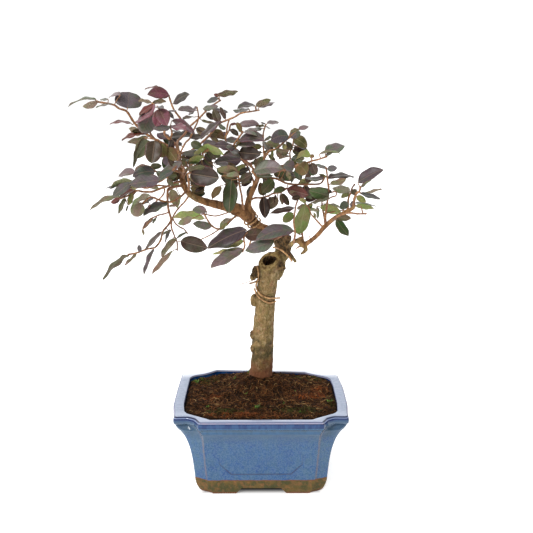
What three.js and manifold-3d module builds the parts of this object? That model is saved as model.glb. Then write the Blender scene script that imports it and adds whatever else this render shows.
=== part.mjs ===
// A chinese fringe flower bonsai in a glazed rectangular pot.
// Millimetres, +Z up. The pot stands on z = 0 and its front looks along -Y.
import * as THREE from 'three';
import { mergeVertices } from 'three/addons/utils/BufferGeometryUtils.js';
import Module from 'manifold-3d';

const wasm = await Module();
wasm.setup();

// Driving dimensions of the pot.
const POT_HEIGHT = 91.5;
const FLOOR_UNDER = 7;
const FLOOR_TOP = 14;
const FOOT_TOP = 18;
const FOOT_RING = 9;
const FOOT_GAP_FRONT = [28.5, 22.5];
const FOOT_GAP_SIDE = [19, 14];
const DRAIN_RADIUS = 6;
const DRAIN_X = 36;
const SCREEN_HALF = 12;
const SCREEN_THICK = 0.8;
const CLEAR = 0.3;
const SLEEVE = 0.42;
const TRUNK_SIDES = 10;
const BRANCH_SIDES = 6;
const SNAG_SIDES = 5;
const WIRE_SIDES = 4;
const WIRE_STOPS = 1.3;

// The ground under the tree.
const SOIL_EDGE = 88.7;
const SOIL_FALL = 0.026;
const MOUND_HEIGHT = 16;
const MOUND_SPREAD = 34;

// The twig and leaf rows are read on an upright picture plane through the pot's middle.
// A point of a row slides from that plane to its own depth along the line to this eye.
const EYE = new THREE.Vector3(0, -834.2, 460.8);

// Blades.
const BLADE_THICK = 0.7;
const BLADE_RATIO = 0.52;
const BLADE_FOLD = 0.16;
const RIBBED_BLADE = 9;
const WIDE_BLADE = 12;
const SHORT_BLADE = 17;
const TINY = [6, 16.5];
const STALK_HALF = 0.6;
const LONG_STALK = 8;
// A blade starts this far in front of its twig or behind it, on the side that it leans to.
const LEAF_CLEAR = 3;
// Places along a blade and the share of its half width there.
const SMALL_STATIONS = [[0.45, 1]];
const MIDDLE_STATIONS = [[0.3, 0.95], [0.68, 0.86]];
const LARGE_STATIONS = [[0.18, 0.74], [0.46, 1], [0.78, 0.68]];

// The middle of the whole plant over the pot's middle, so that the origin is under the middle.
const CENTRE = [-37, -6];

const finishes = {
  glaze: new THREE.MeshStandardMaterial({ color: 0x4f78a4, roughness: 0.22, metalness: 0 }),
  soil: new THREE.MeshStandardMaterial({ color: 0x33241b, roughness: 0.97, metalness: 0 }),
  bark: new THREE.MeshStandardMaterial({ color: 0x86694a, roughness: 0.85, metalness: 0 }),
  wire: new THREE.MeshStandardMaterial({ color: 0xb98d6a, roughness: 0.45, metalness: 0.7 }),
  screen: new THREE.MeshStandardMaterial({ color: 0x22221f, roughness: 0.6, metalness: 0 }),
  purple: new THREE.MeshStandardMaterial({ color: 0x5e525a, roughness: 0.55, metalness: 0 }),
  olive: new THREE.MeshStandardMaterial({ color: 0x6f7452, roughness: 0.6, metalness: 0 }),
};

// The wood: each row is a route of [x, z, y, radius] on the picture plane and its depth.
const TRUNK = [
  [-1.5, 84, 34, 18], [-1.3, 104, 33, 15.6], [-0.4, 118, 32.2, 13.5], [1.5, 140, 30, 12.6],
  [2.4, 161, 27, 12.6], [3.9, 185, 23.5, 12.2], [5.2, 205, 20.5, 11.9], [6.5, 222, 18, 11.6],
  [8.9, 240, 15, 11.9], [9.6, 256, 13, 12.3], [10.4, 273, 10.5, 11.6],
];
const BRANCHES = [
  [[15, 234, 24, 7], [20, 246, 27, 7.5], [20.5, 256, 29, 8], [25, 267, 29, 9], [22, 279, 28, 8.5],
    [12, 286, 26, 7.5], [3, 290, 23, 6.8], [-4.5, 295, 19, 6.3], [-9.5, 300.5, 15, 6.4],
    [-15, 307, 11, 8], [-26, 313, 8, 7.6], [-42, 317, 5, 5.2], [-59, 321, 3, 4.3], [-74, 327, 1, 3.5],
    [-82, 335, 1, 3.4], [-86, 345, 2, 3.2], [-88, 358, 5, 2.8], [-89, 370, 8, 2.4], [-91, 384, 12, 1.9]],
  [[-10, 306, 13, 6], [-14, 316, 8, 4], [-13, 325, 5, 3.2], [-9, 334, 3, 2.9], [-5, 343, 2, 2.7],
    [-2, 352, 3, 2.4], [1, 361, 5, 2.1], [4, 371, 6, 1.7], [5, 378, 6, 1.3]],
  [[25, 269, 20, 6], [32.5, 271.5, 12, 3.2], [37.5, 276.5, 6, 2.4], [43, 277, 2, 3.4], [48, 273, -2, 3.2],
    [57, 278, -6, 2.6], [64.2, 284.7, -8, 2.5], [71.6, 293.4, -10, 2.6], [82, 302.8, -15, 2.3],
    [92, 308.8, -20, 2.3], [102.5, 314.4, -23, 2], [103.7, 319, -25, 1.7]],
];
const SNAGS = [
  [[46.5, 274, -1, 3.4], [45, 278, 2, 3.8], [43.8, 281.5, 2, 2.8]],
  [[45, 272.5, -1, 2.4], [49.8, 270.4, -5, 2.4], [50.8, 267, -6, 2.3], [48.4, 264, -6, 1.9],
    [44.8, 261.6, -6, 1]],
  [[24, 268, 20, 4.5], [30.5, 264, 12, 2.7], [35.2, 258.6, 6, 2.1], [39.6, 252.5, 2, 1.7]],
  [[22, 272, 24, 7], [28, 277.5, 20, 5.6], [32.5, 283, 18, 2.8]],
  [[16, 246, 18, 7], [22, 248, 14, 5.6], [25.5, 243, 12, 3.2]],
];
const KNOBS = [
  [-7.5, 208, 17, 5.2, 8], [-5.5, 241, 13, 5, 8], [-9.5, 235, 12, 3.6, 3.6], [-9.5, 166, 21, 3.4, 6],
  [-10, 149, 22, 3, 5], [14, 226, 14, 4.5, 6],
];
const CUT = { at: [9.5, 255, 13.5], tilt: 54, lean: 0.25, hollow: [3.4, 7], depth: 26 };
// The tying wires, each with its radius and its routes of [x, z, y].
const WIRES = [
  ['trunk_wire', 1.05, [[-4.2, 248.5, 12.5], [-3.2, 243, 8.3], [-2.6, 237.6, 8.3], [-3.4, 231.7, 10.6],
      [-8.3, 228.8, 9.5], [-13.2, 227.5, 8.5]],
    [[-3.6, 232.2, 10.4], [-5.4, 226.5, 13.2], [-5, 222, 13.4], [-2.7, 217.3, 10], [0, 214, 8],
      [3.1, 212.2, 6.8], [6.3, 211, 6.3], [9.6, 210.1, 6.5], [13.5, 210, 10], [17, 210.1, 13],
      [21.9, 210.4, 18]]],
  ['loop_wire', 1, [[-7.5, 222, 17.5], [-5.1, 215, 14.8], [-2, 211, 9.8], [1.4, 208.2, 7.8],
      [5.4, 205.8, 7], [9.6, 204.5, 7.8], [13.5, 205, 10.5], [17, 206.3, 13.8]]],
  ['stub_wire', 1, [[14, 269.8, 26.5], [18, 269, 21.5], [21, 267.7, 14.8], [24, 265.9, 11.5],
      [28.9, 261.7, 7.5], [31.5, 259, 4.5], [33.8, 255.9, 2.8], [35.2, 253.9, 1.8]]],
  ['branch_wire', 0.95, [[-4.5, 295.2, 9.9], [-8.6, 292.8, 9.9], [-10, 290.5, 9.5], [-9.5, 285, 8.5],
      [-10, 280, 7.5], [-12.5, 274, 7], [-13, 271, 7]]],
];
// The turns of a wire round the first branch, between two of its points.
const WRAP = {
  wire: 'branch_wire', first: 6, last: 9, start: 9, pitch: 6.4,
  turns: [0.7, 2.42], parts: 7, grip: 1.06, off: 1.3,
};

// The leafy sprays. Each has its twigs, [thick radius, thin radius, then points of [x, z, y]], and its
// leaves, [base x, base z, tip x, tip z, width seen, tip depth less base depth, bow, kind]. Kinds that show
// their upper face: p purple, k dark, d dark brown, m mauve, s slate, v violet, r red, g grey green, e green.
// Kinds that show their under face: u beige, b bright green, n dark olive, y yellow, o ochre, t pale.
const UNDER_KINDS = 'ubnyot';
const GREEN_KINDS = 'ubnyotge';
const SPRAYS = [
  ['spray_left_high', [
    [1.6, 1.1, [-90, 378, 10], [-98, 382, 12], [-110, 388, 10], [-121, 394, 4], [-130, 401, 0],
      [-137, 409, -4], [-144, 420, -8], [-152, 423, -12], [-158, 427, -14], [-174, 430, -16]],
  ], [
    [-176, 432, -207, 427, 2, 4, 3, 'g'],
    [-174, 430, -191, 425, 7, -6, -1, 't'],
    [-163, 432, -172, 433, 3, 6, 0, 'm'],
    [-159, 428, -177, 424, 2, -10, 1, 'm'],
    [-150, 437, -163, 435, 4, 12, 2, 'm'],
    [-143, 423, -140, 441, 29, 10, 0, 's'],
    [-138, 406, -163, 407, 3, -8, 3, 'r'],
    [-130, 396, -142, 402, 8, 12, 0, 'u'],
  ]],
  ['spray_left_upper', [
    [1.3, 0.9, [-89, 371, 8], [-94, 376, -8], [-104, 384, -24], [-112, 388, -28], [-119, 396, -30],
      [-122, 406, -32], [-117, 414, -34], [-115, 426, -36]],
  ], [
    [-114, 427, -131, 416, 6, -8, 1, 'r'],
    [-116, 429, -131, 431, 4, 8, 1, 'u'],
    [-117, 428, -101, 430, 5, 10, 1, 'u'],
    [-117, 420, -128, 397, 19, -14, 0, 'm'],
    [-114, 428, -135, 408, 6, -22, -3, 'v'],
    [-116, 401, -124, 402, 6, -8, 0, 'n'],
    [-122, 397, -140, 400, 7, -6, 0, 'n'],
    [-124, 397, -151, 390, 4, -14, 2, 'r'],
    [-122, 393, -145, 388, 7, -4, -1, 'u'],
  ]],
  ['spray_crown_left', [
    [1.4, 1.0, [-91, 383, 12], [-90, 388, 26], [-85, 393, 36], [-79, 402, 38], [-86, 412, 40],
      [-92, 420, 42], [-95, 426, 42], [-98, 436, 44]],
    [1.2, 0.9, [-79, 402, 38], [-73, 407, 34], [-66, 413, 31], [-59, 420, 28], [-52, 426, 26],
      [-44, 431, 24]],
  ], [
    [-98, 437, -121, 438, 13, -14, 2, 'v'],
    [-107, 443, -124, 444, 3, 10, 2, 'r'],
    [-94, 428, -76, 438, 9, -8, 2, 'p'],
    [-62, 423, -46, 426, 6, -10, 0, 'm'],
    [-52, 422, -34, 420, 5, 8, 0, 'p'],
    [-45, 433, -58, 430, 6, 6, 0, 's'],
    [-46, 436, -24, 442, 7, -8, 1, 'u'],
    [-44, 436, -50, 438, 4, 4, 0, 'r'],
    [-64, 411, -49, 408, 3, 8, -1, 'o'],
    [-91, 421, -101, 420, 2, -12, 0, 's'],
  ]],
  ['spray_crown_back_left', [
    [1.2, 0.8, [-89, 368, 8], [-89, 372, 36], [-82, 386, 58], [-77, 391, 62], [-72, 401, 62],
      [-67, 412, 62], [-68, 423, 64]],
  ], [
    [-70, 421, -89, 422, 7, -12, 1, 'm'],
    [-68, 424, -78, 417, 5, 12, 0, 'p'],
    [-71, 414, -84, 412, 3, 14, 1, 'n'],
    [-77, 391, -62, 395, 8, 14, 0, 'd'],
    [-86, 383, -104, 394, 9, 12, 0, 'k'],
    [-74, 395, -101, 394, 9, 8, 0, 'k'],
  ]],
  ['spray_left_front', [
    [1.5, 1.0, [-89, 365, 6], [-88, 374, -24], [-92, 384, -46], [-98, 390, -56], [-104, 396, -60],
      [-103, 406, -62], [-106, 418, -64], [-110, 424, -66]],
    [1.0, 0.8, [-98, 390, -56], [-96, 398, -62], [-98, 403, -66]],
  ], [
    [-107, 422, -113, 404, 12, -10, 0, 'v'],
    [-109, 422, -101, 405, 14, -16, 1, 'v'],
    [-100, 419, -93, 412, 4, 8, 1, 'k'],
    [-112, 424, -104, 423, 3, -10, 1, 's'],
    [-98, 404, -116, 401, 7, -14, 0, 'm'],
    [-96, 405, -81, 400, 8, -18, 1, 'v'],
    [-96, 410, -70, 397, 8, 6, 2, 'v'],
    [-100, 391, -112, 397, 8, 14, 0, 'p'],
    [-95, 384, -106, 395, 8, 8, 0, 'e'],
    [-97, 399, -86, 399, 3, 12, 0, 'k'],
  ]],
  ['spray_left_broad', [
    [1.4, 1.0, [-88, 359, 5], [-91, 368, -26], [-98, 377, -46], [-106, 384, -54], [-111, 389, -60]],
  ], [
    [-115, 389, -119, 365, 17, -12, 0, 'd'],
    [-118, 387, -136, 370, 15, 4, 4, 'g'],
    [-126, 392, -140, 360, 5, 8, 4, 'n'],
    [-106, 386, -108, 370, 10, -6, 0, 'o'],
    [-103, 381, -92, 367, 12, -10, 1, 'o'],
    [-98, 378, -103, 361, 12, 8, -2, 'p'],
    [-99, 380, -96, 389, 7, -12, 0, 'k'],
  ]],
  ['spray_crown_long', [
    [1.5, 0.8, [-90, 374, 9], [-83, 376, 20], [-76, 378, 22], [-66, 385, 18], [-57, 393, 12],
      [-50, 401, 8], [-45, 407, 4], [-38, 410, 0], [-28, 414, -4], [-21, 418, -8], [-9, 420, -12],
      [-3, 421, -14]],
  ], [
    [-6, 426, -25, 423, 6, -10, 2, 's'],
    [-12, 422, -30, 422, 5, 10, -1, 's'],
    [-5, 425, 11, 433, 7, -8, 1, 'u'],
    [-2, 424, 15, 431, 4, 10, 0, 'p'],
    [-43, 410, -66, 392, 7, -10, 0, 'p'],
    [-47, 407, -37, 402, 5, 8, -1, 'g'],
    [-56, 393, -39, 390, 10, 12, 5, 'o'],
    [-51, 399, -55, 406, 4, 10, 0, 'n'],
  ]],
  ['spray_crown_middle', [
    [1.3, 0.9, [-2, 352, 4], [-11, 361, 26], [-24, 372, 44], [-32, 380, 44], [-38, 388, 42],
      [-37, 396, 40], [-36, 404, 38], [-34, 411, 36]],
    [1.0, 0.9, [-37, 395, 40], [-34, 400, 36], [-32, 406, 32], [-25, 406, 30]],
  ], [
    [-24, 406, -2, 407, 8, -12, 1, 'm'],
    [-37, 396, -42, 397, 4, 4, 0, 'p'],
    [-33, 406, -26, 407, 3, -4, 0, 'r'],
    [-39, 388, -20, 389, 7, 8, 1, 'm'],
    [-38, 386, -54, 384, 9, 12, -1, 'g'],
    [-37, 391, -49, 398, 7, 12, 2, 'o'],
  ]],
  ['spray_crown_mauve', [
    [1.2, 0.8, [0, 357, 5], [2, 358, 30], [4, 363, 56], [4, 371, 62], [3, 380, 58], [3, 390, 54],
      [3, 397, 52], [5, 404, 50]],
  ], [
    [1, 402, -17, 399, 5, -14, 0, 'm'],
    [7, 407, 20, 409, 5, 10, 0, 'm'],
    [5, 407, 0, 408, 2, -4, 0, 'p'],
    [5, 404, 11, 402, 2, 6, 0, 'm'],
    [4, 404, -6, 405, 3, -8, 0, 'o'],
    [3, 391, -12, 394, 5, 14, 2, 'm'],
    [4, 389, 12, 392, 4, 10, 1, 'n'],
  ]],
  ['spray_crown_heart', [
    [1.4, 0.9, [-4, 346, 3], [-7, 354, -6], [-10, 361, -12], [-15, 366, -20], [-19, 370, -26],
      [-26, 378, -34], [-29, 384, -38], [-25, 390, -40], [-20, 397, -42]],
  ], [
    [-19, 399, -24, 399, 3, 6, 0, 'y'],
    [-19, 398, -4, 395, 4, -8, 1, 'm'],
    [-24, 388, 4, 389, 11, -14, 4, 'p'],
    [-27, 386, -5, 384, 8, -6, 1, 'm'],
    [-27, 381, -23, 388, 4, -12, 0, 'o'],
    [-28, 381, -50, 384, 9, -14, 1, 'p'],
    [-22, 374, -38, 382, 8, -18, 0, 'm'],
    [-24, 376, 0, 374, 15, -14, 0, 'k'],
    [-21, 371, -38, 374, 6, 6, 0, 'p'],
  ]],
  ['spray_crown_olive', [
    [1.2, 0.9, [-86, 347, 2], [-79, 359, -12], [-70, 367, -16], [-63, 371, -24], [-63, 375, -32],
      [-58, 379, -40]],
  ], [
    [-66, 378, -39, 375, 10, -14, 3, 'y'],
    [-61, 378, -73, 375, 6, -14, 1, 'y'],
    [-64, 381, -76, 387, 9, 6, 0, 'g'],
    [-63, 383, -47, 386, 7, 10, 2, 's'],
    [-65, 375, -86, 374, 7, 2, 1, 'm'],
  ]],
  ['spray_crown_right', [
    [1.4, 1.0, [4, 370, 6], [9, 377, -6], [15, 379, -12], [20, 382, -14], [25, 387, -16],
      [31, 392, -18]],
  ], [
    [30, 394, 11, 389, 14, -10, 2, 's'],
    [31, 393, 44, 398, 9, 8, 0, 'm'],
    [32, 397, 43, 401, 4, -4, 1, 'u'],
    [41, 401, 52, 404, 5, 4, 0, 'm'],
    [22, 383, 6, 386, 8, 10, 1, 'u'],
    [24, 385, 28, 379, 5, -8, 0, 'b'],
    [16, 379, 31, 378, 6, -12, -1, 'u'],
    [14, 378, 10, 368, 4, -10, 0, 'b'],
    [8, 377, 4, 389, 7, 14, 0, 'd'],
  ]],
  ['spray_crown_round', [
    [1.2, 0.8, [2, 364, 6], [14, 362, 20], [26, 362, 26], [32, 368, 22], [32, 376, 18], [35, 384, 14],
      [36, 391, 10]],
  ], [
    [36, 391, 51, 381, 12, -12, 2, 'o'],
    [41, 382, 52, 379, 4, 6, 0, 'k'],
    [34, 380, 20, 375, 4, 8, 0, 'g'],
    [34, 383, 24, 381, 6, 14, 0, 'u'],
    [32, 372, 20, 369, 4, 12, 1, 'u'],
    [33, 369, 45, 371, 4, -10, 0, 'e'],
  ]],
  ['spray_right_high', [
    [1.5, 0.9, [-1, 354, 4], [12, 355, -12], [26, 357, -24], [36, 360, -30], [44, 363, -34],
      [52, 365, -36], [57, 367, -37], [62, 368, -38], [71, 371, -40]],
  ], [
    [70, 378, 92, 384, 11, 10, 0, 'm'],
    [64, 374, 88, 375, 3, -8, 2, 't'],
    [71, 373, 79, 377, 4, -4, 0, 'm'],
    [55, 371, 37, 368, 7, -12, 4, 'y'],
    [54, 372, 59, 372, 4, -4, 0, 'o'],
    [40, 364, 47, 366, 5, 8, 0, 'g'],
    [40, 361, 51, 352, 15, -12, 3, 'o'],
    [37, 361, 25, 362, 12, -10, 0, 'm'],
    [50, 364, 52, 351, 4, 4, 0, 'p'],
  ]],
  ['spray_left_middle', [
    [1.4, 1.0, [-87, 353, 4], [-92, 356, -18], [-100, 356, -26], [-108, 354, -30], [-114, 355, -32],
      [-121, 359, -32]],
  ], [
    [-137, 354, -157, 350, 8, 6, 2, 'm'],
    [-119, 360, -138, 357, 6, 8, 1, 't'],
    [-121, 359, -108, 362, 7, 10, 1, 'g'],
    [-116, 355, -141, 350, 13, -6, 2, 's'],
  ]],
  ['spray_left_grey', [
    [1.3, 0.9, [-87, 349, 3], [-84, 358, -36], [-89, 362, -60], [-95, 358, -70], [-103, 350, -74],
      [-112, 344, -76], [-130, 341, -78], [-140, 343, -78]],
  ], [
    [-86, 366, -112, 351, 9, -6, 1, 'm'],
    [-96, 356, -114, 345, 7, -10, 1, 's'],
    [-110, 346, -146, 342, 13, -8, 0, 's'],
    [-140, 345, -166, 337, 6, 4, 1, 't'],
    [-149, 340, -172, 338, 3, 10, 0, 's'],
    [-143, 343, -164, 328, 10, -10, 0, 's'],
    [-103, 348, -92, 351, 5, 8, 0, 'n'],
  ]],
  ['spray_left_low', [
    [1.4, 1.0, [-85, 343, 1], [-91, 344, -6], [-97, 342, -12], [-103, 339, -18], [-112, 336, -26],
      [-120, 333, -32], [-130, 333, -38], [-137, 334, -44], [-146, 329, -48], [-154, 326, -50]],
    [1.0, 0.8, [-103, 339, -18], [-114, 340, -20], [-125, 337, -22], [-132, 338, -24]],
    [0.9, 0.8, [-106, 336, -20], [-107, 331, -18], [-111, 326, -16], [-115, 323, -14]],
  ], [
    [-155, 327, -190, 314, 5, -10, 4, 'u'],
    [-155, 325, -166, 321, 6, 6, 0, 'r'],
    [-138, 335, -157, 326, 5, -10, 1, 'r'],
    [-132, 338, -152, 334, 5, -12, 1, 'y'],
    [-141, 331, -147, 318, 6, -10, 0, 'y'],
    [-150, 326, -158, 308, 5, -6, 0, 'g'],
    [-137, 333, -149, 324, 4, 12, 0, 'r'],
    [-147, 318, -150, 311, 2, -4, 0, 'g'],
    [-113, 336, -122, 338, 4, -10, 0, 'u'],
  ]],
  ['spray_left_olive', [
    [1.2, 0.9, [-82, 334, 0], [-88, 328, -24], [-98, 322, -42], [-106, 322, -52], [-113, 324, -58],
      [-122, 327, -60], [-131, 320, -62]],
  ], [
    [-133, 321, -141, 305, 14, -8, 0, 't'],
    [-122, 329, -144, 318, 6, -12, 1, 't'],
    [-130, 319, -117, 328, 3, 4, 0, 's'],
    [-103, 321, -131, 307, 9, -12, 1, 'm'],
    [-122, 318, -130, 311, 3, 8, 0, 'r'],
  ]],
  ['spray_hanging_left', [
    [1.5, 1.0, [-84, 339, 1], [-92, 339, 4], [-98, 338, 2], [-102, 336, -2], [-103, 330, -4],
      [-103, 318, -6], [-102, 311, -8], [-100, 302, -10], [-103, 296, -14], [-109, 289, -18],
      [-111, 283, -20], [-113, 277, -22], [-119, 270, -24], [-128, 268, -26], [-139, 264, -28],
      [-148, 262, -30]],
    [0.9, 0.8, [-102, 310, -8], [-108, 308, -4], [-113, 307, -2], [-120, 304, 0]],
  ], [
    [-120, 304, -132, 290, 5, 4, 1, 'u'],
    [-132, 291, -131, 284, 3, 2, 0, 'u'],
    [-116, 305, -120, 297, 3, 6, 0, 'n'],
    [-111, 288, -131, 267, 5, -12, 0, 'd'],
    [-103, 289, -109, 285, 3, -12, 0, 'g'],
    [-120, 268, -135, 238, 5, 6, -2, 'p'],
    [-149, 261, -180, 233, 6, -8, 5, 'n'],
    [-139, 264, -154, 250, 3, 8, -2, 'u'],
    [-136, 265, -137, 273, 5, -4, 0, 's'],
    [-102, 317, -92, 318, 3, 6, 0, 'u'],
  ]],
  ['spray_hanging_right', [
    [1.1, 0.8, [-78, 331, 1], [-84, 322, 12], [-89, 317, 16], [-94, 311, 12], [-98, 304, 10],
      [-100, 295, 8], [-99, 290, 6], [-96, 281, 2], [-94, 276, 0], [-94, 268, -2]],
    [0.9, 0.8, [-98, 303, 10], [-95, 297, 14], [-90, 293, 16], [-86, 291, 18], [-83, 287, 18]],
  ], [
    [-100, 290, -109, 275, 4, 8, 0, 'k'],
    [-98, 281, -112, 259, 7, 10, 0, 'u'],
    [-95, 280, -103, 271, 4, -6, 0, 'u'],
    [-83, 287, -95, 280, 3, -6, 0, 'g'],
    [-99, 266, -124, 239, 6, -8, -1, 'u'],
    [-90, 277, -60, 269, 18, -8, 0, 'd'],
  ]],
  ['spray_left_fan', [
    [1.2, 0.9, [-83, 337, 1], [-82, 341, 22], [-90, 340, 32], [-97, 337, 26], [-102, 334, 24]],
  ], [
    [-90, 341, -99, 338, 5, -10, 0, 'b'],
    [-98, 336, -94, 317, 11, -6, 0, 'u'],
    [-90, 330, -93, 315, 6, 8, 0, 'b'],
    [-88, 352, -104, 344, 6, -6, 0, 'n'],
    [-92, 348, -103, 343, 4, -12, 0, 'm'],
    [-85, 350, -79, 360, 4, 10, 0, 'b'],
  ]],
  ['spray_middle_broad', [
    [1.4, 1.0, [-80, 333, 1], [-79, 340, -20], [-80, 352, -34], [-77, 354, -44]],
  ], [
    [-77, 353, -46, 348, 21, -10, 0, 'k'],
    [-79, 356, -61, 362, 7, -16, 0, 'n'],
    [-79, 366, -62, 372, 7, 6, 0, 'y'],
    [-78, 347, -70, 341, 5, 8, 0, 'd'],
    [-82, 366, -66, 367, 5, 10, 0, 'g'],
  ]],
  ['spray_low_green', [
    [1.2, 0.9, [-22, 312, 9], [-27, 306, -4], [-31, 303, -12], [-36, 298, -16], [-42, 293, -20],
      [-48, 291, -24], [-54, 294, -28], [-58, 299, -30], [-63, 308, -32]],
    [0.8, 0.6, [-46, 291, -23], [-55, 285, -26], [-65, 280, -28]],
    [0.8, 0.7, [-63, 308, -32], [-54, 306, -24], [-48, 306, -20], [-38, 309, -16]],
  ], [
    [-60, 311, -76, 313, 9, -8, 1, 'm'],
    [-62, 303, -98, 304, 10, 4, 1, 'y'],
    [-76, 303, -93, 297, 8, -10, 0, 't'],
    [-55, 294, -76, 297, 9, -10, 0, 'm'],
    [-34, 303, -46, 293, 8, 4, 0, 't'],
    [-37, 297, -46, 290, 4, -8, 0, 'y'],
  ]],
  ['spray_low_purple', [
    [1.3, 0.9, [3, 290, 23], [-3, 287, 4], [-10, 288, -16], [-17, 286, -28], [-19, 280, -32],
      [-18, 272, -36], [-20, 266, -38]],
  ], [
    [-16, 290, -60, 269, 18, -8, 2, 'p'],
    [-19, 277, -49, 271, 9, 4, 0, 'y'],
    [-20, 268, -58, 248, 13, -6, 0, 'm'],
    [-21, 266, -54, 262, 4, 8, 2, 'y'],
    [-18, 283, 4, 286, 14, 8, 0, 'd'],
  ]],
  ['spray_low_grey', [
    [1.2, 0.9, [37, 275, 6], [37, 276, -14], [38, 282, -30], [38, 288, -38], [30, 286, -42],
      [16, 279, -44]],
  ], [
    [37, 289, -6, 279, 15, -10, 4, 'g'],
    [15, 278, -18, 267, 14, -8, -1, 'm'],
  ]],
  ['spray_low_olive', [
    [1.3, 0.9, [46, 273, 0], [47, 281, 8], [46, 290, 6], [48, 304, 2], [50, 316, 0], [47, 325, -2]],
  ], [
    [43, 284, 49, 320, 17, -10, 0, 'b'],
    [50, 317, 40, 314, 5, -8, 0, 'u'],
    [50, 320, 42, 327, 5, -4, 0, 'y'],
  ]],
  ['spray_centre_dark', [
    [1.3, 0.9, [-18, 310, 10], [-20, 318, -10], [-21, 328, -18], [-23, 338, -24], [-24, 348, -28],
      [-25, 354, -30]],
  ], [
    [-32, 346, -36, 309, 16, -10, -1, 'e'],
    [-29, 349, -38, 341, 7, 6, 0, 'o'],
    [-24, 351, -38, 352, 6, -10, 0, 't'],
    [-25, 355, -48, 358, 9, -8, 0, 'u'],
    [-23, 345, -9, 353, 9, -8, 0, 'd'],
    [-21, 339, -9, 350, 8, 4, 0, 'k'],
  ]],
  ['spray_centre_purple', [
    [1.2, 0.9, [-8, 336, 3], [-8, 344, 14], [-11, 352, 14], [-14, 360, 8], [-20, 367, 4]],
  ], [
    [-21, 368, -51, 366, 13, -10, 0, 'p'],
    [-16, 362, -30, 356, 6, -4, 0, 'b'],
    [-13, 362, -5, 366, 4, 8, 0, 'r'],
    [-19, 369, -28, 378, 6, 10, 0, 'g'],
  ]],
  ['spray_centre_mauve', [
    [1.3, 1.0, [-5, 342, 2], [-4, 347, -20], [-7, 352, -34], [-9, 355, -40]],
  ], [
    [-8, 355, 25, 358, 15, -8, 3, 'm'],
    [-6, 359, 2, 372, 8, 6, 0, 'u'],
    [-6, 351, 14, 351, 5, 8, -1, 'g'],
  ]],
  ['spray_centre_green', [
    [1.2, 0.9, [-13, 323, 6], [-6, 326, 3], [0, 326, 0], [8, 328, -4], [14, 331, -6], [22, 332, -8],
      [28, 336, -10]],
  ], [
    [14, 346, 2, 332, 13, -8, 0, 'g'],
    [27, 337, 14, 333, 7, -6, 0, 'g'],
    [3, 327, 5, 303, 12, -8, 0, 'k'],
    [19, 326, 5, 314, 12, 8, 0, 'n'],
  ]],
  ['spray_centre_long', [
    [1.4, 0.9, [-3, 349, 3], [10, 348, -2], [18, 347, -6], [26, 343, -10], [36, 341, -14],
      [55, 341, -16], [66, 342, -18], [70, 348, -18]],
  ], [
    [29, 336, 53, 329, 13, -8, 0, 'r'],
    [20, 347, 41, 349, 6, 8, 0, 'o'],
    [42, 343, 57, 346, 7, 8, 0, 'y'],
    [26, 364, 34, 351, 9, -6, 0, 'm'],
    [70, 350, 49, 348, 5, -8, -2, 'm'],
    [27, 356, 41, 349, 4, -14, -1, 'k'],
  ]],
  ['spray_centre_low', [
    [1.0, 0.8, [37.5, 276.5, 6], [38.6, 286, -12], [36.8, 298, -18], [38, 310, -20], [39.4, 319, -22],
      [42, 325, -22]],
  ], [
    [38, 315, 10, 310, 6, -8, 1, 'k'],
    [36, 309, 25, 299, 10, 6, 0, 'b'],
    [44, 327, 34, 325, 6, -4, 0, 'k'],
  ]],
  ['spray_right_mauve', [
    [1.4, 0.9, [72.6, 296, -10], [72, 306, -10], [73, 313, -12], [74, 322, -16], [75, 331, -20],
      [75, 338, -22], [74, 343, -23], [73, 352, -24], [72, 358, -25]],
    [0.8, 0.7, [74, 324, -17], [79, 327, -20], [83, 328, -22], [84, 332, -24], [81, 333, -26]],
  ], [
    [73, 358, 84, 359, 7, -6, 0, 's'],
    [73, 358, 60, 364, 4, 6, 0, 'm'],
    [73, 349, 64, 352, 3, 4, 0, 'b'],
    [74, 348, 103, 351, 7, 10, 2, 'k'],
    [77, 341, 94, 348, 7, -12, -1, 'u'],
    [76, 328, 54, 334, 14, -8, 0, 'g'],
    [79, 331, 62, 337, 6, 10, 0, 'k'],
    [76, 325, 55, 321, 4, -14, -1, 'n'],
  ]],
  ['spray_right_green', [
    [1.3, 0.9, [96, 311, -21], [97, 315, 0], [97, 323, 8], [98, 328, 8], [100, 332, 6], [101, 337, 4],
      [103, 340, 2]],
  ], [
    [99, 333, 79, 337, 9, -8, 1, 't'],
    [98, 332, 89, 326, 6, 6, 0, 'b'],
    [101, 330, 106, 335, 7, -8, 0, 'g'],
    [97, 321, 88, 314, 9, -10, 0, 'm'],
    [99, 319, 104, 318, 8, 8, 0, 'p'],
  ]],
  ['spray_right_far', [
    [1.6, 1.0, [103, 317, -24], [104, 325, -28], [106, 331, -30], [109, 333, -32], [110, 337, -33]],
  ], [
    [107, 343, 134, 358, 12, -8, 1, 'p'],
    [110, 337, 125, 351, 3, 8, -1, 't'],
    [113, 330, 134, 336, 3, 8, 0, 'u'],
    [110, 331, 133, 325, 5, -8, 0, 's'],
    [106, 328, 117, 321, 7, -6, 0, 'b'],
    [105, 320, 129, 318, 3, 6, 0, 'g'],
    [105, 317, 126, 314, 6, -4, 0, 'b'],
  ]],
  ['spray_right_low', [
    [1.4, 0.9, [80, 301.2, -14], [84, 304, -30], [90, 307, -40], [98, 309, -44], [108, 308, -46],
      [116, 308, -48]],
    [0.8, 0.7, [114, 308, -48], [113, 311, -48], [112, 315, -48]],
  ], [
    [83, 304, 101, 303, 8, -8, 0, 'n'],
    [84, 302, 99, 283, 10, -6, -1, 'b'],
    [112, 315, 118, 318, 3, -4, 0, 'b'],
  ]],
  ['spray_right_back', [
    [1.2, 0.8, [72.2, 295, -9.5], [71, 303, 8], [70, 308, 18], [68, 318, 22], [68, 325, 26], [66, 331, 28]],
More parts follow.
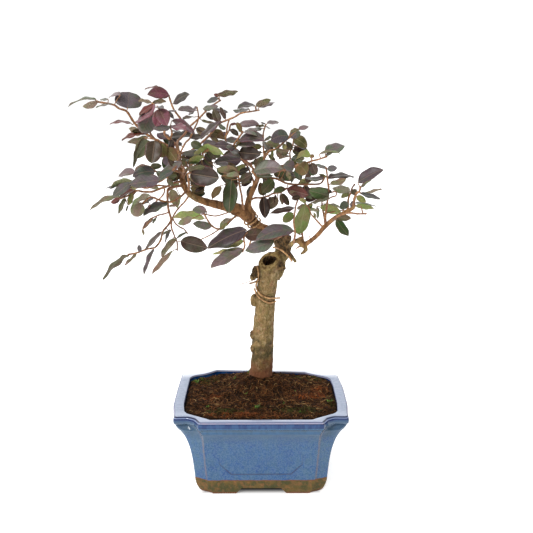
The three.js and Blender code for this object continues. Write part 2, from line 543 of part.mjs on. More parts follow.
    [0.9, 0.7, [70, 308, 18], [80, 310, 14], [91, 312, 10]],
  ], [
    [66, 315, 91, 309, 10, -8, 1, 'y'],
    [76, 319, 88, 315, 3, 4, 0, 't'],
    [66, 332, 54, 337, 7, 8, 0, 'g'],
    [62, 316, 64, 302, 4, 4, 0, 'g'],
  ]],
  ['spray_right_thin', [
    [1.0, 0.6, [70.2, 292, -9], [62, 301, -8], [56, 308, -6], [54, 314, -4], [50, 319, -8]],
  ], [
    [54, 314, 65, 311, 4, 6, 0, 't'],
    [60, 303, 60, 310, 3, -4, 0, 'u'],
  ]],
];

// A point of the picture plane, slid along the line of sight to depth y.
function see(x, z, y) {
  const plane = new THREE.Vector3(x, 0, z);
  return plane.sub(EYE).multiplyScalar((y - EYE.y) / -EYE.y).add(EYE);
}

function solidOf(vertices, triangles) {
  return new wasm.Manifold(new wasm.Mesh({
    numProp: 3,
    vertProperties: new Float32Array(vertices),
    triVerts: new Uint32Array(triangles),
  }));
}

function solidOfGeometry(geometry) {
  const bare = geometry.clone();
  bare.deleteAttribute('normal');
  bare.deleteAttribute('uv');
  const merged = mergeVertices(bare, 1e-4);
  return solidOf(merged.attributes.position.array, merged.index.array);
}

function geometryOf(solid) {
  const mesh = solid.getMesh();
  const geometry = new THREE.BufferGeometry();
  geometry.setAttribute('position', new THREE.BufferAttribute(new Float32Array(mesh.vertProperties), 3));
  const triangles = largestBody(mesh.triVerts, mesh.vertProperties.length / 3);
  geometry.setIndex(new THREE.BufferAttribute(triangles, 1));
  geometry.computeVertexNormals();
  return geometry;
}

// The triangles of the body with the most of them: a scrap left loose by a cut is dropped.
function largestBody(triangles, vertexCount) {
  const parent = Array.from({ length: vertexCount }, (_, i) => i);
  const find = (i) => {
    while (parent[i] !== i) i = parent[i] = parent[parent[i]];
    return i;
  };
  for (let t = 0; t < triangles.length; t += 3) {
    parent[find(triangles[t])] = find(triangles[t + 1]);
    parent[find(triangles[t + 1])] = find(triangles[t + 2]);
  }
  const sizes = new Map();
  for (const v of triangles) sizes.set(find(v), (sizes.get(find(v)) ?? 0) + 1);
  const [body] = [...sizes].sort((a, b) => b[1] - a[1])[0];
  return new Uint32Array(triangles.filter((v) => find(v) === body));
}

function fuse(solids) {
  return solids.reduce((whole, solid) => whole.add(solid));
}

// Rings of equal length, joined in order and closed with a fan at both ends.
function loft(rings) {
  const count = rings[0].length;
  const vertices = rings.flat().flatMap((p) => [p.x, p.y, p.z]);
  const triangles = [];
  for (let r = 0; r + 1 < rings.length; r += 1) {
    for (let i = 0; i < count; i += 1) {
      const a = r * count + i;
      const b = r * count + ((i + 1) % count);
      triangles.push(a, b, b + count, a, b + count, a + count);
    }
  }
  const last = (rings.length - 1) * count;
  for (let i = 1; i + 1 < count; i += 1) {
    triangles.push(0, i + 1, i, last, last + i, last + i + 1);
  }
  return solidOf(vertices, triangles);
}

// A tapering round limb through the points, with a flat end on each side.
function limb(points, radii, sides, swell = () => 1, extra = 0) {
  const rings = [];
  let across = new THREE.Vector3(1, 0, 0);
  points.forEach((point, i) => {
    const before = points[Math.max(0, i - 1)];
    const after = points[Math.min(points.length - 1, i + 1)];
    const along = after.clone().sub(before).normalize();
    if (Math.abs(along.dot(across)) > 0.98) across = new THREE.Vector3(0, 0, 1);
    across = across.clone().addScaledVector(along, -along.dot(across)).normalize();
    const other = along.clone().cross(across);
    const ring = [];
    for (let k = 0; k < sides; k += 1) {
      const angle = (2 * Math.PI * k) / sides;
      const radius = radii[i] * swell(i, k) + extra;
      ring.push(point.clone()
        .addScaledVector(across, Math.cos(angle) * radius)
        .addScaledVector(other, Math.sin(angle) * radius));
    }
    rings.push(ring);
  });
  return loft(rings);
}

// A limb of wood with a slightly uneven girth. With extra it is that much thicker and longer.
function woodLimb(row, sides, extra = 0) {
  const points = row.map(([x, z, y]) => see(x, z, y));
  const last = points.length - 1;
  const start = points[0].clone().sub(points[1]).setLength(extra);
  const end = points[last].clone().sub(points[last - 1]).setLength(extra);
  points[0].add(start);
  points[last].add(end);
  const swell = (i, k) => 1 + 0.07 * Math.sin(2.3 * i + 2.1 * k);
  return limb(points, row.map(([, , , radius]) => radius), sides, swell, extra);
}

// The pot's outline at one height: the quarter from the side to the front, mirrored round.
function quarterRing(quarter, z) {
  const back = [...quarter].reverse();
  const xy = [
    ...quarter.map(([x, y]) => [x, y]), ...back.map(([x, y]) => [-x, y]),
    ...quarter.map(([x, y]) => [-x, -y]), ...back.map(([x, y]) => [x, -y]),
  ];
  return xy.map(([x, y]) => new THREE.Vector3(x, y, z));
}

// Chamfered wall outline: half length, half width, the proud front panel's edge and the chamfer's depth.
function wallQuarter(side, front, edge, deep, step = 1.8) {
  const cornerX = side;
  const cornerY = front - deep;
  const run = [edge + 0.4 - cornerX, front - step - cornerY];
  const chamfer = [0, 0.36, 0.68, 1].map((t) => [cornerX + run[0] * t, cornerY + run[1] * t]);
  return [[side + 0.3, 24], ...chamfer, [edge, front - 0.3], [edge - 1, front]];
}

const LIP_QUARTER = [[97.2, 24], [96, 58.5], [94.4, 61], [80.4, 60.4], [72.6, 64.8], [68.6, 72], [66.6, 75.5]];
const MOUTH_QUARTER = [[86, 24], [85.6, 45], [83, 50.2], [79, 53.4], [68, 59.8], [60, 64.6], [56, 67.6]];

function scaled(quarter, dx, dy) {
  return quarter.map(([x, y]) => [x + dx, y + dy]);
}

const OUTER_RINGS = [
  [0, wallQuarter(67.7, 66, 55, 7)], [8, wallQuarter(73.4, 67.2, 59, 7)],
  [FOOT_TOP, wallQuarter(75.2, 66, 61, 7.5)], [33, wallQuarter(76.8, 66.4, 62.5, 8)],
  [48.5, wallQuarter(79.2, 67.4, 63.5, 9)], [58.7, wallQuarter(82.2, 68.6, 64.5, 10)],
  [68, wallQuarter(86.6, 70, 66, 11)], [75, wallQuarter(92.4, 71.6, 67, 12)],
  [80.5, scaled(LIP_QUARTER, 0.6, -2.6)], [82.2, scaled(LIP_QUARTER, 1.5, -0.2)],
  [88, scaled(LIP_QUARTER, 1.9, 0.8)], [POT_HEIGHT, scaled(LIP_QUARTER, -0.6, -1)],
];
const INNER_RINGS = [
  [FLOOR_TOP, wallQuarter(66, 58, 52, 14, 2.2)], [48, wallQuarter(72, 60, 54, 14, 2.2)],
  [70, wallQuarter(79, 63, 56, 14, 2.2)], [84, MOUTH_QUARTER], [POT_HEIGHT + 1, scaled(MOUTH_QUARTER, 0.6, 0.6)],
];

function block(halfX, halfY, z0, z1, x = 0, y = 0) {
  const box = new THREE.BoxGeometry(2 * halfX, 2 * halfY, z1 - z0);
  box.translate(x, y, (z0 + z1) / 2);
  return solidOfGeometry(box);
}

function wedge([low, top], reach, turned) {
  const rise = FLOOR_UNDER + 1;
  const spread = top - (low - top) / FLOOR_UNDER;
  const shape = new THREE.Shape([
    new THREE.Vector2(-low, -1), new THREE.Vector2(low, -1),
    new THREE.Vector2(spread + 1, rise - 1), new THREE.Vector2(-spread - 1, rise - 1),
  ]);
  const prism = new THREE.ExtrudeGeometry(shape, { depth: 2 * reach, bevelEnabled: false });
  prism.translate(0, 0, -reach);
  prism.rotateX(Math.PI / 2);
  if (turned) prism.rotateZ(Math.PI / 2);
  return solidOfGeometry(prism);
}

// The pot was warped a little when it was fired: its rim reaches further out at the left and the back.
function settle(vertex) {
  const [x, y, z] = vertex;
  const step = THREE.MathUtils.smoothstep;
  const high = step(z, 52, 86);
  const corner = step(-x, 56, 80);
  const left = THREE.MathUtils.clamp((56 - x) / 112, 0, 1);
  const spread = 4.5 * (1 - corner) * step(y, 53, 66) + 3.5 * (step(y, 56, 67.6) - step(y, 67.6, 75.5));
  const side = 1.5 * step(x, 55, 86) * (1 - step(y, 20, 55)) - 2.8 * step(-x, 55, 86);
  vertex[0] = x + high * side * step(y, -56, -20);
  vertex[1] = y + high * (6 * corner * step(y, 10, 50) + left * spread);
}

function makePot() {
  const outer = loft(OUTER_RINGS.map(([z, quarter]) => quarterRing(quarter, z)));
  const inner = loft(INNER_RINGS.map(([z, quarter]) => quarterRing(quarter, z)));
  const under = loft([[-1, 0], [FLOOR_UNDER, 1.5]].map(([z, grow]) => (
    quarterRing(wallQuarter(67 - FOOT_RING + grow, 66 - FOOT_RING + grow, 48 + grow, 12, 0.5), z)
  )));
  let pot = outer.subtract(inner).subtract(under);
  pot = pot.subtract(wedge(FOOT_GAP_FRONT, 90, false)).subtract(wedge(FOOT_GAP_SIDE, 110, true));
  for (const x of [-DRAIN_X, DRAIN_X]) {
    const drain = new THREE.CylinderGeometry(DRAIN_RADIUS, DRAIN_RADIUS, 20, 16);
    drain.rotateX(Math.PI / 2);
    drain.translate(x, 0, (FLOOR_UNDER + FLOOR_TOP) / 2);
    pot = pot.subtract(solidOfGeometry(drain));
  }
  return pot.warp(settle);
}

function makeScreen(x) {
  return block(SCREEN_HALF, SCREEN_HALF, FLOOR_TOP + CLEAR, FLOOR_TOP + CLEAR + SCREEN_THICK, x, 0);
}

// The ground's height: a little lower at the back, mounded round the trunk, with shallow lumps.
function soilHeight(x, y) {
  const far = Math.hypot(x - 1, (y - 30) * 1.1);
  const mound = MOUND_HEIGHT * Math.exp(-((far / MOUND_SPREAD) ** 2));
  const lumps = 0.9 * Math.sin(x * 0.13 + 1) * Math.cos(y * 0.17) + 0.6 * Math.sin(x * 0.31 + y * 0.23);
  return SOIL_EDGE - SOIL_FALL * y + mound + lumps;
}

function makeSoil(hole, screens) {
  const scales = [1, 0.86, 0.64, 0.4, 0.17];
  const shrink = (quarter, s) => quarter.map(([x, y]) => [x * s, y * s]);
  const rings = [
    quarterRing(scaled(wallQuarter(66, 58, 52, 14, 2.2), -CLEAR, -CLEAR), FLOOR_TOP + CLEAR),
    quarterRing(scaled(wallQuarter(72, 60, 54, 14, 2.2), -CLEAR, -CLEAR), 48),
    quarterRing(scaled(wallQuarter(79, 63, 56, 14, 2.2), -CLEAR, -CLEAR), 70),
    quarterRing(scaled(MOUTH_QUARTER, -CLEAR - 0.1, -CLEAR - 0.1), 84),
  ];
  scales.forEach((s) => {
    const ring = quarterRing(shrink(scaled(MOUTH_QUARTER, -CLEAR - 0.1, -CLEAR - 0.1), s), 0);
    rings.push(ring.map((p) => p.setZ(Math.max(84.6, soilHeight(p.x, p.y) - (s === 1 ? 1.5 : 0)))));
  });
  let soil = loft(rings).subtract(hole);
  for (const x of screens) {
    const half = SCREEN_HALF + CLEAR;
    soil = soil.subtract(block(half, half, FLOOR_TOP, FLOOR_TOP + SCREEN_THICK + 2 * CLEAR, x, 0));
  }
  return soil.warp(settle);
}

function ball(center, radius, stretch) {
  const ballShape = new THREE.IcosahedronGeometry(radius, 0);
  ballShape.scale(1, 1, stretch / radius);
  ballShape.translate(center.x, center.y, center.z);
  return solidOfGeometry(ballShape);
}

// The sawn stub: everything past the cut plane goes, and the rotten middle is hollow.
function cutTools() {
  const [x, z, y] = CUT.at;
  const centre = see(x, z, y);
  const tilt = THREE.MathUtils.degToRad(CUT.tilt);
  const out = new THREE.Vector3(-CUT.lean, -Math.cos(tilt), Math.sin(tilt)).normalize();
  const hollow = limb(
    [centre.clone().addScaledVector(out, 3), centre.clone().addScaledVector(out, -8),
      centre.clone().addScaledVector(out, -14).add(new THREE.Vector3(0, 4, -8))],
    [CUT.hollow[1], CUT.hollow[1] * 0.9, CUT.hollow[0]], 9,
  );
  const turn = new THREE.Quaternion().setFromUnitVectors(new THREE.Vector3(0, 0, 1), out);
  const slab = new THREE.BoxGeometry(34, 34, CUT.depth);
  slab.translate(0, 0, CUT.depth / 2);
  slab.applyQuaternion(turn);
  slab.translate(centre.x, centre.y, centre.z);
  return { hollow, slab: solidOfGeometry(slab) };
}

function makeTrunk() {
  const { hollow, slab } = cutTools();
  const shaft = woodLimb(TRUNK, TRUNK_SIDES).subtract(slab);
  return fuse([shaft, ...sideWood(0)]).subtract(hollow);
}

// The knobs, branches and snags on the shaft, each thicker by extra.
function sideWood(extra) {
  return [
    ...KNOBS.map(([x, z, y, radius, stretch]) => ball(see(x, z, y), radius + extra, stretch + extra)),
    ...BRANCHES.map((row) => woodLimb(row, BRANCH_SIDES, extra)),
    ...SNAGS.map((row) => woodLimb(row, SNAG_SIDES, extra)),
  ];
}

// The wood with its clearance, to be taken out of everything that starts inside it.
function makeTrunkSleeve() {
  return fuse([woodLimb(TRUNK, TRUNK_SIDES, SLEEVE), ...sideWood(SLEEVE)]);
}

// The middle line of a wire's turns round the first branch.
function wrapRoute() {
  const rows = BRANCHES[0].slice(WRAP.first, WRAP.last + 1);
  const points = rows.map(([x, z, y]) => see(x, z, y));
  const run = points[points.length - 1].clone().sub(points[0]).normalize();
  const route = [];
  for (let turn = WRAP.turns[0]; turn <= WRAP.turns[1]; turn += 1 / WRAP.parts) {
    let left = WRAP.start + turn * WRAP.pitch;
    let k = 0;
    while (k < points.length - 2 && left > points[k].distanceTo(points[k + 1])) {
      left -= points[k].distanceTo(points[k + 1]);
      k += 1;
    }
    const share = left / points[k].distanceTo(points[k + 1]);
    const centre = points[k].clone().lerp(points[k + 1], share);
    const radius = (rows[k][3] + (rows[k + 1][3] - rows[k][3]) * share) * WRAP.grip + WRAP.off;
    const sight = centre.clone().sub(EYE).normalize();
    const up = run.clone().cross(sight).normalize();
    const deep = up.clone().cross(run).normalize();
    const angle = 2 * Math.PI * turn;
    centre.addScaledVector(up, Math.sin(angle) * radius).addScaledVector(deep, -Math.cos(angle) * radius);
    route.push(centre);
  }
  return route;
}

function makeWire([name, radius, ...routes]) {
  const lines = routes.map((points) => points.map(([x, z, y]) => see(x, z, y)));
  if (name === WRAP.wire) lines.push(wrapRoute());
  return fuse(lines.map((points) => {
    const route = new THREE.CatmullRomCurve3(points);
    const stops = route.getSpacedPoints(Math.ceil(WIRE_STOPS * points.length));
    return limb(stops, stops.map(() => radius), WIRE_SIDES);
  }));
}

function nearestOnTwigs(twigs, x, z) {
  let best = { gap: Infinity };
  for (const [, , ...route] of twigs) {
    for (let i = 0; i + 1 < route.length; i += 1) {
      const [ax, az, ay] = route[i];
      const [bx, bz, by] = route[i + 1];
      const length2 = (bx - ax) ** 2 + (bz - az) ** 2;
      const t = THREE.MathUtils.clamp(((x - ax) * (bx - ax) + (z - az) * (bz - az)) / length2, 0, 1);
      const at = [ax + (bx - ax) * t, az + (bz - az) * t, ay + (by - ay) * t];
      const gap = Math.hypot(x - at[0], z - at[1]);
      if (gap < best.gap) best = { gap, at };
    }
  }
  return best;
}

// Where the blade lies: base, axis, sideways and upward directions, length and half width.
function bladeFrame(row, depth) {
  const [bx, bz, tx, tz, width, lean, , kind] = row;
  const clear = Math.sign(lean) * LEAF_CLEAR;
  const base = see(bx, bz, depth + clear);
  const tip = see(tx, tz, depth + clear + lean);
  const along = tip.clone().sub(base);
  const length = along.length();
  along.normalize();
  const sight = base.clone().add(tip).multiplyScalar(0.5).sub(EYE).normalize();
  const flat = along.clone().cross(sight).normalize();
  const deep = along.clone().cross(flat).normalize();
  const trueWidth = Math.max(BLADE_RATIO * length, width);
  const cos = Math.min(1, width / trueWidth);
  const sin = Math.sqrt(1 - cos * cos);
  const underSeen = UNDER_KINDS.includes(kind);
  let best = null;
  for (const turn of [1, -1]) {
    const side = flat.clone().multiplyScalar(cos).addScaledVector(deep, turn * sin);
    const up = along.clone().cross(side).normalize();
    if ((up.dot(sight) > 0) !== underSeen) {
      up.negate();
      side.negate();
    }
    if (!best || up.z > best.up.z) best = { side, up };
  }
  return { base, along, length, half: trueWidth / 2, sight, ...best };
}

// Triangles between two rows of vertex numbers, each row running from the left edge to the right.
function stitch(lower, upper) {
  const triangles = [];
  let i = 0;
  let j = 0;
  while (i < lower.length - 1 || j < upper.length - 1) {
    const nextLow = (i + 1) / Math.max(1, lower.length - 1);
    const nextHigh = (j + 1) / Math.max(1, upper.length - 1);
    const stepLow = j === upper.length - 1 || (i < lower.length - 1 && nextLow <= nextHigh);
    if (stepLow) {
      triangles.push([lower[i], lower[i + 1], upper[j]]);
      i += 1;
    } else {
      triangles.push([lower[i], upper[j + 1], upper[j]]);
      j += 1;
    }
  }
  return triangles;
}

function stationsFor(length, width) {
  if (width >= WIDE_BLADE) return LARGE_STATIONS;
  return length < SHORT_BLADE ? SMALL_STATIONS : MIDDLE_STATIONS;
}

// A leaf: its stalk starts inside the twig, and the blade folds up a little along its rib.
function makeLeaf(row, joint) {
  const { base, along, length, half, sight, side, up } = bladeFrame(row, joint.y);
  const [, , , , width, , bow] = row;
  const rise = new THREE.Vector3(0, 0, 1).addScaledVector(sight, -sight.z).normalize();
  const ribbed = width >= RIBBED_BLADE;
  const rib = (t) => base.clone()
    .addScaledVector(along, length * t)
    .addScaledVector(rise, bow * 4 * t * (1 - t));
  const far = joint.at.distanceTo(base) > LONG_STALK;
  const root = far ? base : joint.at;
  const rows = [[1, -1].map((s) => root.clone().addScaledVector(side, s * STALK_HALF))];
  for (const [t, share] of stationsFor(length, width)) {
    const reach = half * share;
    const edge = (s) => rib(t).addScaledVector(side, s * reach).addScaledVector(up, reach * BLADE_FOLD);
    rows.push(ribbed ? [edge(1), rib(t), edge(-1)] : [edge(1), edge(-1)]);
  }
  rows.push([rib(1)]);
  const leaf = thicken(rows, up);
  if (!far) return leaf;
  return leaf.add(limb([joint.at, base.clone().addScaledVector(along, 1)], [STALK_HALF, STALK_HALF], 3));
}

// Gives rows of points a thickness across the direction up, and closes the rim.
function thicken(rows, up) {
  let next = 0;
  const numbered = rows.map((points) => points.map(() => next++));
  const count = next;
  const flatRows = rows.flat();
  const lifted = (offset) => flatRows.flatMap((p) => p.clone().addScaledVector(up, offset).toArray());
  const triangles = [];
  for (let r = 0; r + 1 < numbered.length; r += 1) {
    for (const [a, b, c] of stitch(numbered[r], numbered[r + 1])) {
      triangles.push(a, b, c, a + count, c + count, b + count);
    }
  }
  const right = numbered.slice(1).map((ids) => ids[ids.length - 1]);
  const left = numbered.slice(1, -1).map((ids) => ids[0]).reverse();
  const rim = [...numbered[0], ...right, ...left];
  rim.forEach((a, i) => {
    const b = rim[(i + 1) % rim.length];
    triangles.push(b, a, a + count, b, a + count, b + count);
  });
  return solidOf([...lifted(BLADE_THICK / 2), ...lifted(-BLADE_THICK / 2)], triangles);
}

function makeSpray([, twigs, leaves]) {
  const solids = twigs.map(([thick, thin, ...route]) => {
    const last = route.length - 1;
    const radii = route.map((_, i) => thick + (thin - thick) * (i / last));
    return limb(route.map(([x, z, y]) => see(x, z, y)), radii, 3);
  });
  for (const row of leaves) {
    const [bx, bz, tx, tz, width] = row;
    if (width < TINY[0] && Math.hypot(tx - bx, tz - bz) < TINY[1]) continue;
    const { at } = nearestOnTwigs(twigs, bx, bz);
    solids.push(makeLeaf(row, { at: see(...at), y: at[2] }));
  }
  return fuse(solids);
}

const plant = new THREE.Group();
plant.position.set(-CENTRE[0], -CENTRE[1], 0);

function addPiece(name, solid, finish) {
  const mesh = new THREE.Mesh(geometryOf(solid), finish);
  mesh.name = name;
  plant.add(mesh);
}

const sleeve = makeTrunkSleeve();
addPiece('pot', makePot(), finishes.glaze);
addPiece('soil', makeSoil(sleeve, [-DRAIN_X, DRAIN_X]), finishes.soil);
addPiece('drain_screen_left', makeScreen(-DRAIN_X), finishes.screen);
addPiece('drain_screen_right', makeScreen(DRAIN_X), finishes.screen);
addPiece('trunk', makeTrunk(), finishes.bark);
for (const row of WIRES) addPiece(row[0], makeWire(row).subtract(sleeve), finishes.wire);
for (const row of SPRAYS) {
  const count = row[2].filter((leaf) => GREEN_KINDS.includes(leaf[7])).length;
  const finish = 2 * count > row[2].length ? finishes.olive : finishes.purple;
  addPiece(row[0], makeSpray(row).subtract(sleeve), finish);
}

export default plant;
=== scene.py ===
"""Looks for a chinese fringe flower bonsai: its blue pot, soil, bark, tying wires and every leaf."""

import math
import random

import bmesh
import bpy
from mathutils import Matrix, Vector, kdtree, noise


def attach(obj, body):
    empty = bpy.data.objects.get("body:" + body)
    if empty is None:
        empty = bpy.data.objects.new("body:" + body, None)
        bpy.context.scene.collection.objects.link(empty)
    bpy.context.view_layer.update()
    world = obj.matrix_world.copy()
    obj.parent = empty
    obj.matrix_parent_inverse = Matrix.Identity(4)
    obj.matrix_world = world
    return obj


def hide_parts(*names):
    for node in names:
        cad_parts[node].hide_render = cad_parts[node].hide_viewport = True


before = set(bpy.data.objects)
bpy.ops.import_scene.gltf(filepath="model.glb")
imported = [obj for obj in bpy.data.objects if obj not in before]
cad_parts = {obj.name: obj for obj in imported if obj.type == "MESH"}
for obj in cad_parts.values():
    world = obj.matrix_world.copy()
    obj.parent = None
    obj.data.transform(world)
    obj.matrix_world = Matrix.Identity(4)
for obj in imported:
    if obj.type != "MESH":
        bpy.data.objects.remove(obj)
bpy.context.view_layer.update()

# The pot's middle stands at PLACE in the frame. Sizes below are in millimetres from the pot's middle.
PLACE = Vector((37.0, 6.0, 0.0))
MM = 0.001


def metres(point):
    """A point in millimetres from the pot's middle, as a point of the frame in metres."""
    return (Vector(point) + PLACE) * MM


# The camera stands in front of the pot and a little above the rim.
EYE = Vector((0.0, -834.2, 460.8))
PITCH_DEGREES = 14.34
YAW_DEGREES = 0.44
FOCAL_PIXELS = 760.0
FRAME_PIXELS = 533.0
SENSOR = 36.0


def make_camera():
    data = bpy.data.cameras.new("camera")
    data.sensor_width = SENSOR
    data.lens = FOCAL_PIXELS / FRAME_PIXELS * SENSOR
    data.clip_end = 30.0
    camera = bpy.data.objects.new("camera", data)
    camera.location = metres(EYE)
    camera.rotation_euler = (math.radians(90 - PITCH_DEGREES), 0, -math.radians(YAW_DEGREES))
    bpy.context.collection.objects.link(camera)
    bpy.context.scene.camera = camera


def see(x, z, y):
    """A point (x, z) of the upright plane through the pot's middle, slid along the sight to depth y."""
    plane = Vector((x, 0.0, z))
    return EYE + (plane - EYE) * ((y - EYE.y) / -EYE.y)


def seen(route):
    """The points of a route whose rows start with x, z and depth."""
    return [see(*row[:3]) for row in route]


# Pieces
def new_piece(name, vertices, faces, smooth=True):
    """A mesh object in the frame, from points in millimetres from the pot's middle."""
    mesh = bpy.data.meshes.new(name)
    mesh.from_pydata([metres(v) for v in vertices], [], faces)
    mesh.update()
    if smooth:
        mesh.polygons.foreach_set("use_smooth", [True] * len(mesh.polygons))
    piece = bpy.data.objects.new(name, mesh)
    bpy.context.collection.objects.link(piece)
    return piece


def own(piece, finishes, slot, *nodes):
    """Gives a piece its materials and says which body and CAD nodes it stands for. The slot is not used."""
    piece.data.materials.clear()
    for finish in finishes:
        piece.data.materials.append(MATERIALS[finish])
    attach(piece, "root")
    if nodes:
        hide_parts(*nodes)
    return piece


def mark(piece, name, values, kind="FLOAT_COLOR"):
    """Gives each vertex its value of an attribute that the materials read."""
    layer = piece.data.attributes.new(name, kind, "POINT")
    field = "vector" if kind == "FLOAT_VECTOR" else "color"
    layer.data.foreach_set(field, [part for value in values for part in value])


def cut_out(piece, tools):
    """Modifiers that take the tools' bodies out of a piece."""
    for tool in tools:
        cut = piece.modifiers.new("cut", "BOOLEAN")
        cut.operation = "DIFFERENCE"
        cut.solver = "MANIFOLD"
        cut.object = tool


def apply_modifiers(piece):
    """Works a piece's modifiers into its mesh."""
    graph = bpy.context.evaluated_depsgraph_get()
    mesh = bpy.data.meshes.new_from_object(piece.evaluated_get(graph))
    old = piece.data
    piece.modifiers.clear()
    piece.data = mesh
    bpy.data.meshes.remove(old)


def discard(tools):
    for tool in tools:
        mesh = tool.data
        bpy.data.objects.remove(tool)
        bpy.data.meshes.remove(mesh)


# Meshes
def lofted(rings):
    """Vertices and faces of rings of equal length, joined in order and closed at both ends."""
    count = len(rings[0])
    vertices = [p for ring in rings for p in ring]
    faces = []
    for r in range(len(rings) - 1):
        for i in range(count):
            a, b = r * count + i, r * count + (i + 1) % count
            faces.append((a, b, b + count, a + count))
    faces.append(tuple(reversed(range(count))))
    faces.append(tuple(range((len(rings) - 1) * count, len(rings) * count)))
    return vertices, faces


def blend(a, b, t):
    return a + (b - a) * t


def within(low, high, value):
    """How far a value lies from low to high, as a share from 0 to 1."""
    return min(1.0, max(0.0, (value - low) / (high - low)))


def smooth_step(low, high, value):
    t = within(low, high, value)
    return t * t * (3 - 2 * t)


def slope(keys, i):
    """The slope of the straight from one key to the next."""
    (x0, y0), (x1, y1) = keys[i], keys[i + 1]
    return (y1 - y0) / (x1 - x0)


def tangent(keys, i):
    """The slope of the curve at a key: level at a peak or a hollow."""
    if i == 0:
        return slope(keys, 0)
    if i == len(keys) - 1:
        return slope(keys, i - 1)
    left, right = slope(keys, i - 1), slope(keys, i)
    return 0.0 if left * right <= 0 else 2 * left * right / (left + right)


def through(keys, value):
    """A smooth curve through (place, amount) keys that never swings past them."""
    if value <= keys[0][0]:
        return keys[0][1]
    if value >= keys[-1][0]:
        return keys[-1][1]
    at = next(i for i, (x, _) in enumerate(keys) if value <= x) - 1
    (x0, y0), (x1, y1) = keys[at], keys[at + 1]
    span = x1 - x0
    t = (value - x0) / span
    m0, m1 = tangent(keys, at) * span, tangent(keys, at + 1) * span
    return (y0 * (2 * t ** 3 - 3 * t * t + 1) + m0 * (t ** 3 - 2 * t * t + t)
            + y1 * (3 * t * t - 2 * t ** 3) + m1 * (t ** 3 - t * t))


def route_through(points, step):
    """Points about one step apart on a smooth curve through the given ones, each with its place."""
    out = []
    last = len(points) - 1
    for i in range(last):
        p0, p1 = points[max(0, i - 1)], points[i]
        p2, p3 = points[i + 1], points[min(last, i + 2)]
        parts = max(1, round((p2 - p1).length / step))
        for k in range(parts + (1 if i == last - 1 else 0)):
            t = k / parts
            point = 0.5 * (2 * p1 + (p2 - p0) * t + (2 * p0 - 5 * p1 + 4 * p2 - p3) * t * t
                           + (3 * p1 - p0 - 3 * p2 + p3) * t ** 3)
            out.append((point, i + t))
    return out


def line_through(points, step):
    return [point for point, _ in route_through(points, step)]


def tube_rings(points, radii, sides):
    """Round rings across a route, turned as little as possible from one to the next."""
    rings = []
    across = Vector((1, 0, 0))
    last = len(points) - 1
    for i, point in enumerate(points):
        along = (points[min(last, i + 1)] - points[max(0, i - 1)]).normalized()
        if abs(along.dot(across)) > 0.98:
            across = Vector((0, 0, 1))
        across = (across - along * along.dot(across)).normalized()
        other = along.cross(across)
        ring = []
        for k in range(sides):
            angle = 2 * math.pi * k / sides
            reach_across, reach_other = math.cos(angle) * radii[i], math.sin(angle) * radii[i]
            ring.append(point + across * reach_across + other * reach_other)
        rings.append(ring)
    return rings


def join(meshes):
    """Vertices and faces of several meshes in one."""
    vertices, faces = [], []
    for some_vertices, some_faces in meshes:
        start = len(vertices)
        vertices += some_vertices
        faces += [tuple(i + start for i in face) for face in some_faces]
    return vertices, faces


def tree_of(points):
    """The points as a tree that finds the nearest one."""
    tree = kdtree.KDTree(len(points))
    for i, point in enumerate(points):
        tree.insert(point, i)
    tree.balance()
    return tree


# The wood, read from the photo. Each row is a point of a route: x and z on the upright plane through
# the pot's middle, as seen from the camera, then depth and radius.
TRUNK = [
  [-1.5, 84, 34, 18], [-1.3, 104, 33, 15.6], [-0.4, 118, 32.2, 13.5], [1.5, 140, 30, 12.6],
  [2.4, 161, 27, 12.6], [3.9, 185, 23.5, 12.2], [5.2, 205, 20.5, 11.9], [6.5, 222, 18, 11.6],
  [8.9, 240, 15, 11.9], [9.6, 256, 13, 12.3], [10.4, 273, 10.5, 11.6],
]
BRANCHES = [
  [[15, 234, 24, 7], [20, 246, 27, 7.5], [20.5, 256, 29, 8], [25, 267, 29, 9], [22, 279, 28, 8.5],
    [12, 286, 26, 7.5], [3, 290, 23, 6.8], [-4.5, 295, 19, 6.3], [-9.5, 300.5, 15, 6.4],
    [-15, 307, 11, 8], [-26, 313, 8, 7.6], [-42, 317, 5, 5.2], [-59, 321, 3, 4.3], [-74, 327, 1, 3.5],
    [-82, 335, 1, 3.4], [-86, 345, 2, 3.2], [-88, 358, 5, 2.8], [-89, 370, 8, 2.4], [-91, 384, 12, 1.9]],
  [[-10, 306, 13, 6], [-14, 316, 8, 4], [-13, 325, 5, 3.2], [-9, 334, 3, 2.9], [-5, 343, 2, 2.7],
    [-2, 352, 3, 2.4], [1, 361, 5, 2.1], [4, 371, 6, 1.7], [5, 378, 6, 1.3]],
  [[25, 269, 20, 6], [32.5, 271.5, 12, 3.2], [37.5, 276.5, 6, 2.4], [43, 277, 2, 3.4], [48, 273, -2, 3.2],
    [57, 278, -6, 2.6], [64.2, 284.7, -8, 2.5], [71.6, 293.4, -10, 2.6], [82, 302.8, -15, 2.3],
    [92, 308.8, -20, 2.3], [102.5, 314.4, -23, 2], [103.7, 319, -25, 1.7]],
]
SNAGS = [
  [[46.5, 274, -1, 3.4], [45, 278, 2, 3.8], [43.8, 281.5, 2, 2.8]],
  [[45, 272.5, -1, 2.4], [49.8, 270.4, -5, 2.4], [50.8, 267, -6, 2.3], [48.4, 264, -6, 1.9],
    [44.8, 261.6, -6, 1]],
  [[24, 268, 20, 4.5], [30.5, 264, 12, 2.7], [35.2, 258.6, 6, 2.1], [39.6, 252.5, 2, 1.7]],
  [[22, 272, 24, 7], [28, 277.5, 20, 5.6], [32.5, 283, 18, 2.8]],
  [[16, 246, 18, 7], [22, 248, 14, 5.6], [25.5, 243, 12, 3.2]],
]
